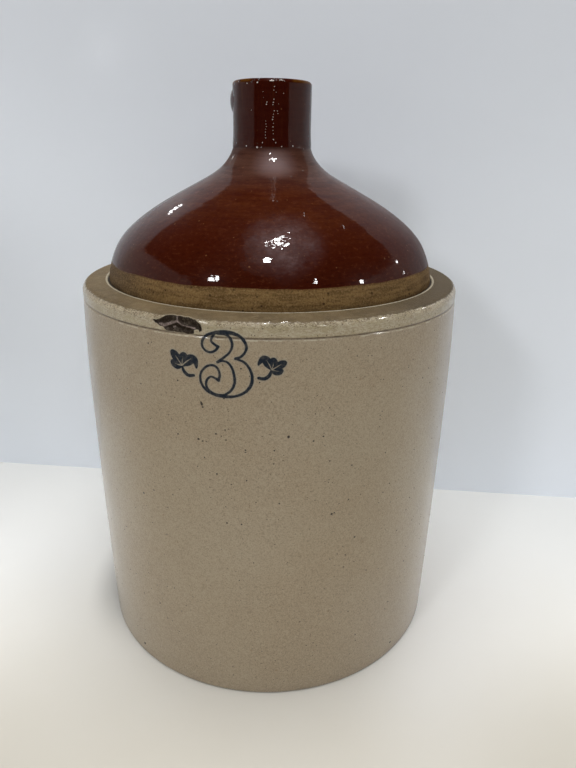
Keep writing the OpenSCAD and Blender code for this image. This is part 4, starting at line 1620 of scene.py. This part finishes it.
@dataclass
class GlazeBeads:
    """Small beads on the glaze: iron specks on the crock, drops of glaze on the neck and pale beads there that are
    painted glints.

    A row of iron_spots or glints holds a bead's direction in degrees, its height and its radius in millimetres.
    """

    sizes: JugSizes
    trees: ShapeTrees
    seed: int = 11
    iron_spots: tuple[Place, ...] = (
        (-107.2, 215.0, 0.50), (-107.0, 213.6, 0.62), (-106.8, 212.2, 0.50), (-107.1, 214.3, 0.60),
        (-108.3, 191.8, 0.65), (-103.6, 196.5, 0.5), (-101.2, 199.5, 0.45), (-85.6, 196.3, 0.95),
        (-114.0, 192.7, 0.5), (-103.7, 170.6, 0.55), (-101.4, 137.6, 0.55), (-127.4, 143.5, 0.8),
        (-123.3, 149.0, 0.6), (-141.7, 132.4, 0.6), (-73.6, 141.9, 0.7), (-66.2, 120.9, 0.65), (-79.3, 192.8, 0.5),
        (-135.0, 8.2, 1.0), (-46.7, 9.7, 1.0),
    )
    glints: tuple[Place, ...] = (
        (-127.5, 348.1, 0.30), (-110.3, 347.3, 0.58), (-102.6, 350.1, 0.25), (-84.2, 350.2, 0.25),
        (-76.0, 348.0, 0.30), (-59.0, 348.4, 0.40), (-38.6, 346.9, 0.30), (-126.4, 384.0, 0.35),
        (-109.9, 384.3, 0.45), (-92.0, 385.2, 0.42), (-90.0, 385.4, 0.55), (-87.8, 385.3, 0.45),
        (-79.3, 385.7, 0.30), (-77.3, 385.8, 0.36), (-75.0, 385.6, 0.32), (-72.6, 385.3, 0.22),
        (-96.5, 373.4, 0.25), (-97.2, 372.1, 0.30), (-98.0, 362.7, 0.18), (-97.8, 361.0, 0.18),
        (-97.4, 359.5, 0.22), (-98.2, 358.0, 0.18), (-98.5, 356.3, 0.22), (-98.6, 354.6, 0.20),
        (-98.1, 352.9, 0.22), (-101.4, 375.9, 0.15), (-101.8, 379.2, 0.15), (-119.5, 368.9, 0.15),
        (-87.0, 375.0, 0.30), (-87.7, 373.3, 0.30), (-88.3, 372.0, 0.22), (-86.3, 368.6, 0.28),
        (-87.6, 366.6, 0.20), (-88.0, 365.0, 0.24), (-88.7, 363.6, 0.30), (-87.5, 361.4, 0.20),
        (-88.1, 359.3, 0.24), (-88.0, 357.3, 0.20), (-87.5, 355.4, 0.18), (-87.4, 352.0, 0.28),
        (-81.9, 368.5, 0.20), (-81.3, 367.0, 0.22), (-80.6, 372.4, 0.15), (-73.6, 378.5, 0.30),
        (-86.2, 382.1, 0.24), (-87.0, 380.1, 0.22), (-84.0, 379.0, 0.20),
    )
    lip_beads: int = 26
    crease_beads: int = 16
    loose_specks: int = 1300
    loose_heights: Point = (10, 248)
    loose_sizes: tuple[float, ...] = (0.15, 0.2, 0.25, 0.34, 0.46)

    def cloud(
        self, name: str, rows: list[tuple], finish: bpy.types.Material, flatness: float, slot: str
    ) -> bpy.types.Object:
        """Lays beads at given directions, heights, radii and sizes.

        Args:
            name: the piece's name.
            rows: direction in degrees, height, surface radius and bead radius of each bead.
            finish: the material.
            flatness: the bead's height as a share of its radius.
            slot: the record's material slot; not used.

        Returns:
            The finished piece.
        """
        data = np.array(rows)
        turn = np.radians(data[:, 0])
        ways = np.stack([np.cos(turn), np.sin(turn), np.zeros_like(turn)], axis=1)
        places = ways * data[:, 2:3] + np.array([0, 0, 1]) * data[:, 1:2]
        mesh = bpy.data.meshes.new(name + "_points")
        mesh.from_pydata(places.tolist(), [], [])
        store(mesh, "way", ways)
        store(mesh, "bead", data[:, 3])
        values = {"Flatness": flatness, "Seed": self.seed, "Finish": finish}
        piece = made_plain(name, mesh, self.trees.scatter, values)
        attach(piece, "root")
        return piece

    def build_iron(self, finish: bpy.types.Material) -> bpy.types.Object:
        """Builds the iron specks on the crock's wall."""
        rng = np.random.default_rng(self.seed)
        rows = [(turn, z * MM, self.sizes.wall_r(z * MM), size * MM) for turn, z, size in self.iron_spots]
        for _ in range(self.loose_specks):
            z = rng.uniform(*self.loose_heights) * MM
            rows.append((rng.uniform(-180, 180), z, self.sizes.wall_r(z), rng.choice(self.loose_sizes) * MM))
        return self.cloud("iron_specks", rows, finish, 0.22, "cream_glaze")

    def build_drops(self, finish: bpy.types.Material) -> bpy.types.Object:
        """Builds the glaze drops along the lip and round the foot of the neck."""
        s = self.sizes
        rng = np.random.default_rng(self.seed + 1)
        rows = []
        for count, start, way, fall, radius, size in (
            (self.lip_beads, s.mouth_z, -1, (0.9, 2.4), s.neck_r - 0.5 * MM, (0.5, 1.1)),
            (self.crease_beads, s.neck_z, 1, (0, 2.5), s.neck_r + 0.3 * MM, (0.3, 0.5)),
        ):
            for _ in range(count):
                turn, z = rng.uniform(-180, 180), start + way * rng.uniform(*fall) * MM
                rows.append((turn, z, radius, rng.uniform(*size) * MM))
        return self.cloud("glaze_drops", rows, finish, 0.5, "brown_glaze")

    def build_glints(self, finish: bpy.types.Material) -> bpy.types.Object:
        """Builds the tiny pale beads, painted glints, that run down the neck and sit round its foot."""
        rows = [(turn, z * MM, self.sizes.neck_at(z * MM) + 0.05 * MM, size * MM) for turn, z, size in self.glints]
        return self.cloud("glaze_glints", rows, finish, 0.8, "brown_glaze")


# The studio.


@dataclass
class Studio:
    """The pale floor and walls, the soft lights, the small lamps that the glaze mirrors, and the camera.

    A soft light's row holds its name, place, size and power. A far lamp's row holds its direction and elevation
    in degrees, its size and its shine, and a haze place's holds its direction, elevation and share of the haze's
    shine. A near lamp's row holds its place, size and shine.
    """

    camera_place: Place = (-0.000511, -0.435295, 0.348238)
    ahead: Place = (0.03002757, 0.92989458, -0.36659843)
    right: Place = (0.99954308, -0.02666462, 0.01423511)
    up: Place = (-0.00346194, 0.36685837, 0.93027037)
    lens: float = 28.278
    sensor: float = 36.0
    floor_half: float = 3.0
    wall_offset: float = 157 * MM
    wall_slope: float = -0.124
    wall_top: float = 0.55
    wall_back: Point = (-0.38, 0.42)
    left_wall: Point = (-0.54, -0.42)
    right_wall: Point = (0.70, -0.63)
    soft_colour: Colour = (0.98, 0.985, 1.0)
    soft_aim: Place = (0, 0, 0.15)
    soft_lights: tuple[tuple[str, Place, float, float], ...] = (
        ("soft_key", (-1.33, -1.83, 1.36), 0.35, 11.0),
        ("soft_front", (0.3, -2.2, 1.7), 1.4, 18.0),
        ("soft_top", (0.0, 0.08, 2.2), 1.6, 44.0),
    )
    room: Colour = (0.012, 0.012, 0.013)
    room_seen: Colour = (0.62, 0.64, 0.67)
    lamp_aim: Place = (0, 0, 0.3)
    lamp_distance: float = 6.0
    far_lamps: tuple[tuple[float, float, float, float], ...] = (
        (32, 30, 0.08, 140), (146, 40, 0.035, 60), (133, 53, 0.035, 55), (154, 62, 0.035, 45),
    )
    haze_places: tuple[Place, ...] = ((127, 84.3, 0.8), (27, 82.3, 1.0), (10, 72.3, 1.0), (-2, 56.6, 0.9))
    haze_sizes: tuple[float, ...] = (0.5, 0.8, 1.1, 1.4, 1.8)
    haze_shine: float = 0.30
    near_lamps: tuple[tuple[float, float, float, float, float], ...] = (
        (-0.018, -0.226, 0.562, 0.0085, 380), (0.003, -0.098, 0.502, 0.0050, 190),
        (0.014, -0.086, 0.502, 0.0060, 240), (0.025, -0.098, 0.502, 0.0042, 190),
        (0.031, -0.076, 0.502, 0.0030, 210), (-0.014, -0.092, 0.502, 0.0028, 150),
        (0.199, -0.033, 0.336, 0.0036, 70), (0.220, -0.029, 0.307, 0.0028, 55),
        (-0.0945, -0.165, 0.3305, 0.0050, 80), (-0.0855, -0.168, 0.333, 0.0038, 75),
        (0.120, -0.125, 0.3072, 0.0034, 190), (-0.169, 0.142, 0.423, 0.0042, 22),
        (-0.161, 0.146, 0.427, 0.0055, 45), (-0.154, 0.149, 0.431, 0.0032, 20),
    )

    def camera(self) -> bpy.types.Object:
        """Builds the camera at the photograph's angle."""
        data = bpy.data.cameras.new("view")
        data.lens, data.sensor_width, data.sensor_fit = self.lens, self.sensor, "AUTO"
        data.clip_start, data.clip_end = 0.01, 50.0
        seen = placed("view", data)
        axes = Matrix((self.right, self.up, tuple(-a for a in self.ahead))).transposed().to_4x4()
        seen.matrix_world = Matrix.Translation(self.camera_place) @ axes
        bpy.context.scene.camera = seen
        return seen

    def sheet(self, name: str, corners: list[Place], finish: bpy.types.Material) -> bpy.types.Object:
        """Builds one flat stage surface from its corners."""
        mesh = bpy.data.meshes.new(name)
        mesh.from_pydata(corners, [], [tuple(range(len(corners)))])
        mesh.materials.append(finish)
        made = placed(name, mesh)
        return made

    def stage(self) -> None:
        """Builds the floor, the back wall and the two side walls."""
        # The floor and walls fade with painted shade, and the back wall emits a little painted light.
        floor = StageFinish(StageKind.FLOOR, (0.80, 0.80, 0.775), (0.70, 0.665, 0.58), (-0.22, 0.06)).material()
        wall = StageFinish(StageKind.WALL, (0.73, 0.76, 0.81), (0.82, 0.86, 0.92), (0.28, 0.48), 0.045).material()
        side = StageFinish(StageKind.SIDE, (0.80, 0.78, 0.76), (0.84, 0.84, 0.84), (0.10, 0.30)).material()
        far = self.floor_half
        self.sheet("floor", [(-far, -far, 0), (far, -far, 0), (far, far, 0), (-far, far, 0)], floor)

        def upright(name: str, start: Point, end: Point, finish: bpy.types.Material) -> None:
            """Builds a wall over the line from start to end."""
            corners = [(*start, 0), (*end, 0), (*end, self.wall_top), (*start, self.wall_top)]
            self.sheet(name, corners, finish)

        left, right = self.left_wall, self.right_wall
        ends = [(x, self.wall_offset + self.wall_slope * x) for x in (left[0], *self.wall_back, right[0])]
        upright("wall_left_part", ends[0], ends[1], side)
        upright("wall_back", ends[1], ends[2], wall)
        upright("wall_right_part", ends[2], ends[3], side)
        upright("wall_left", left, ends[0], side)
        upright("wall_right", ends[3], right, side)

    def light(self) -> None:
        """Builds the soft lights, the small lamps and the dim room round them."""
        self.add_soft_lights()
        self.add_lamps()
        self.add_room()

    def add_soft_lights(self) -> None:
        """Adds the soft lights, which the glaze doesn't mirror."""
        for name, place, size, power in self.soft_lights:
            data = bpy.data.lights.new(name, "AREA")
            data.energy, data.size, data.color = power, size, self.soft_colour
            lit = placed(name, data)
            lit.location = place
            lit.rotation_mode = "QUATERNION"
            lit.rotation_quaternion = (Vector(self.soft_aim) - Vector(place)).to_track_quat("-Z", "Y")
            lit.visible_glossy = False

    def add_lamps(self) -> None:
        """Adds the small lamps near and far, which light nothing but the gloss."""
        lamps = [(Vector(row[:3]), row[3], row[4]) for row in self.near_lamps]
        haze = [
            (turn, lift, size, share * self.haze_shine)
            for turn, lift, share in self.haze_places
            for size in self.haze_sizes
        ]
        for turn, lift, size, shine in (*self.far_lamps, *haze):
            a, b = math.radians(turn), math.radians(lift)
            way = Vector((math.sin(a) * math.cos(b), -math.cos(a) * math.cos(b), math.sin(b)))
            lamps.append((Vector(self.lamp_aim) + way * self.lamp_distance, size, shine))
        for number, (place, size, shine) in enumerate(lamps):
            data = bpy.data.lights.new(f"lamp_{number}", "POINT")
            data.shadow_soft_size = size
            data.energy = shine * 4 * math.pi**2 * size**2
            lit = placed(data.name, data)
            lit.location = place
            lit.visible_diffuse = False

    def add_room(self) -> None:
        """Adds the dim room, which is pale where the camera sees past the walls."""
        world = bpy.data.worlds.new("room")
        world.use_nodes = True
        g = Graph(world.node_tree)
        background = world.node_tree.nodes["Background"]
        seen = g.add("ShaderNodeLightPath").outputs["Is Camera Ray"]
        g.put(background.inputs["Color"], g.mix(seen, self.room, self.room_seen))
        bpy.context.scene.world = world
        bpy.context.scene.view_settings.view_transform = "Standard"


def main() -> None:
    """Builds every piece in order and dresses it."""
    logging.basicConfig(level=logging.INFO, format="%(name)s: %(message)s")
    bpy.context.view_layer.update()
    sizes = JugSizes.from_frame()
    effects, trees = SurfaceEffects(), ShapeTrees()
    studio = Studio()
    studio.camera()
    studio.stage()
    studio.light()

    cream = CreamGlaze(effects, sizes).material()
    brown = BrownGlaze(effects, sizes).material()
    slip = FiredSlip(effects).material()
    iron = BeadFinish("iron", (0.035, 0.02, 0.012), 0.45).material()
    drop = BeadFinish("glaze_drop", (0.05, 0.006, 0.002), 0.2).material()
    # Painted highlights: pale beads that stand for glints in the glaze.
    glint = BeadFinish("glaze_glint", (0.97, 0.90, 0.85), 0.3).material()

    top = JugTop(sizes, trees)
    beads = GlazeBeads(sizes, trees)
    pieces = [
        CrockBody(sizes).build(cream, brown),
        top.build_dome(brown),
        top.build_neck(brown),
        top.build_slip(slip),
        *StrapHandle(sizes, trees).build(brown),
        beads.build_iron(iron),
        beads.build_drops(drop),
        beads.build_glints(glint),
    ]
    for piece in pieces:
        LOG.info("%s: %d faces", piece.name, len(piece.data.polygons))


if __name__ == "__main__":
    main()
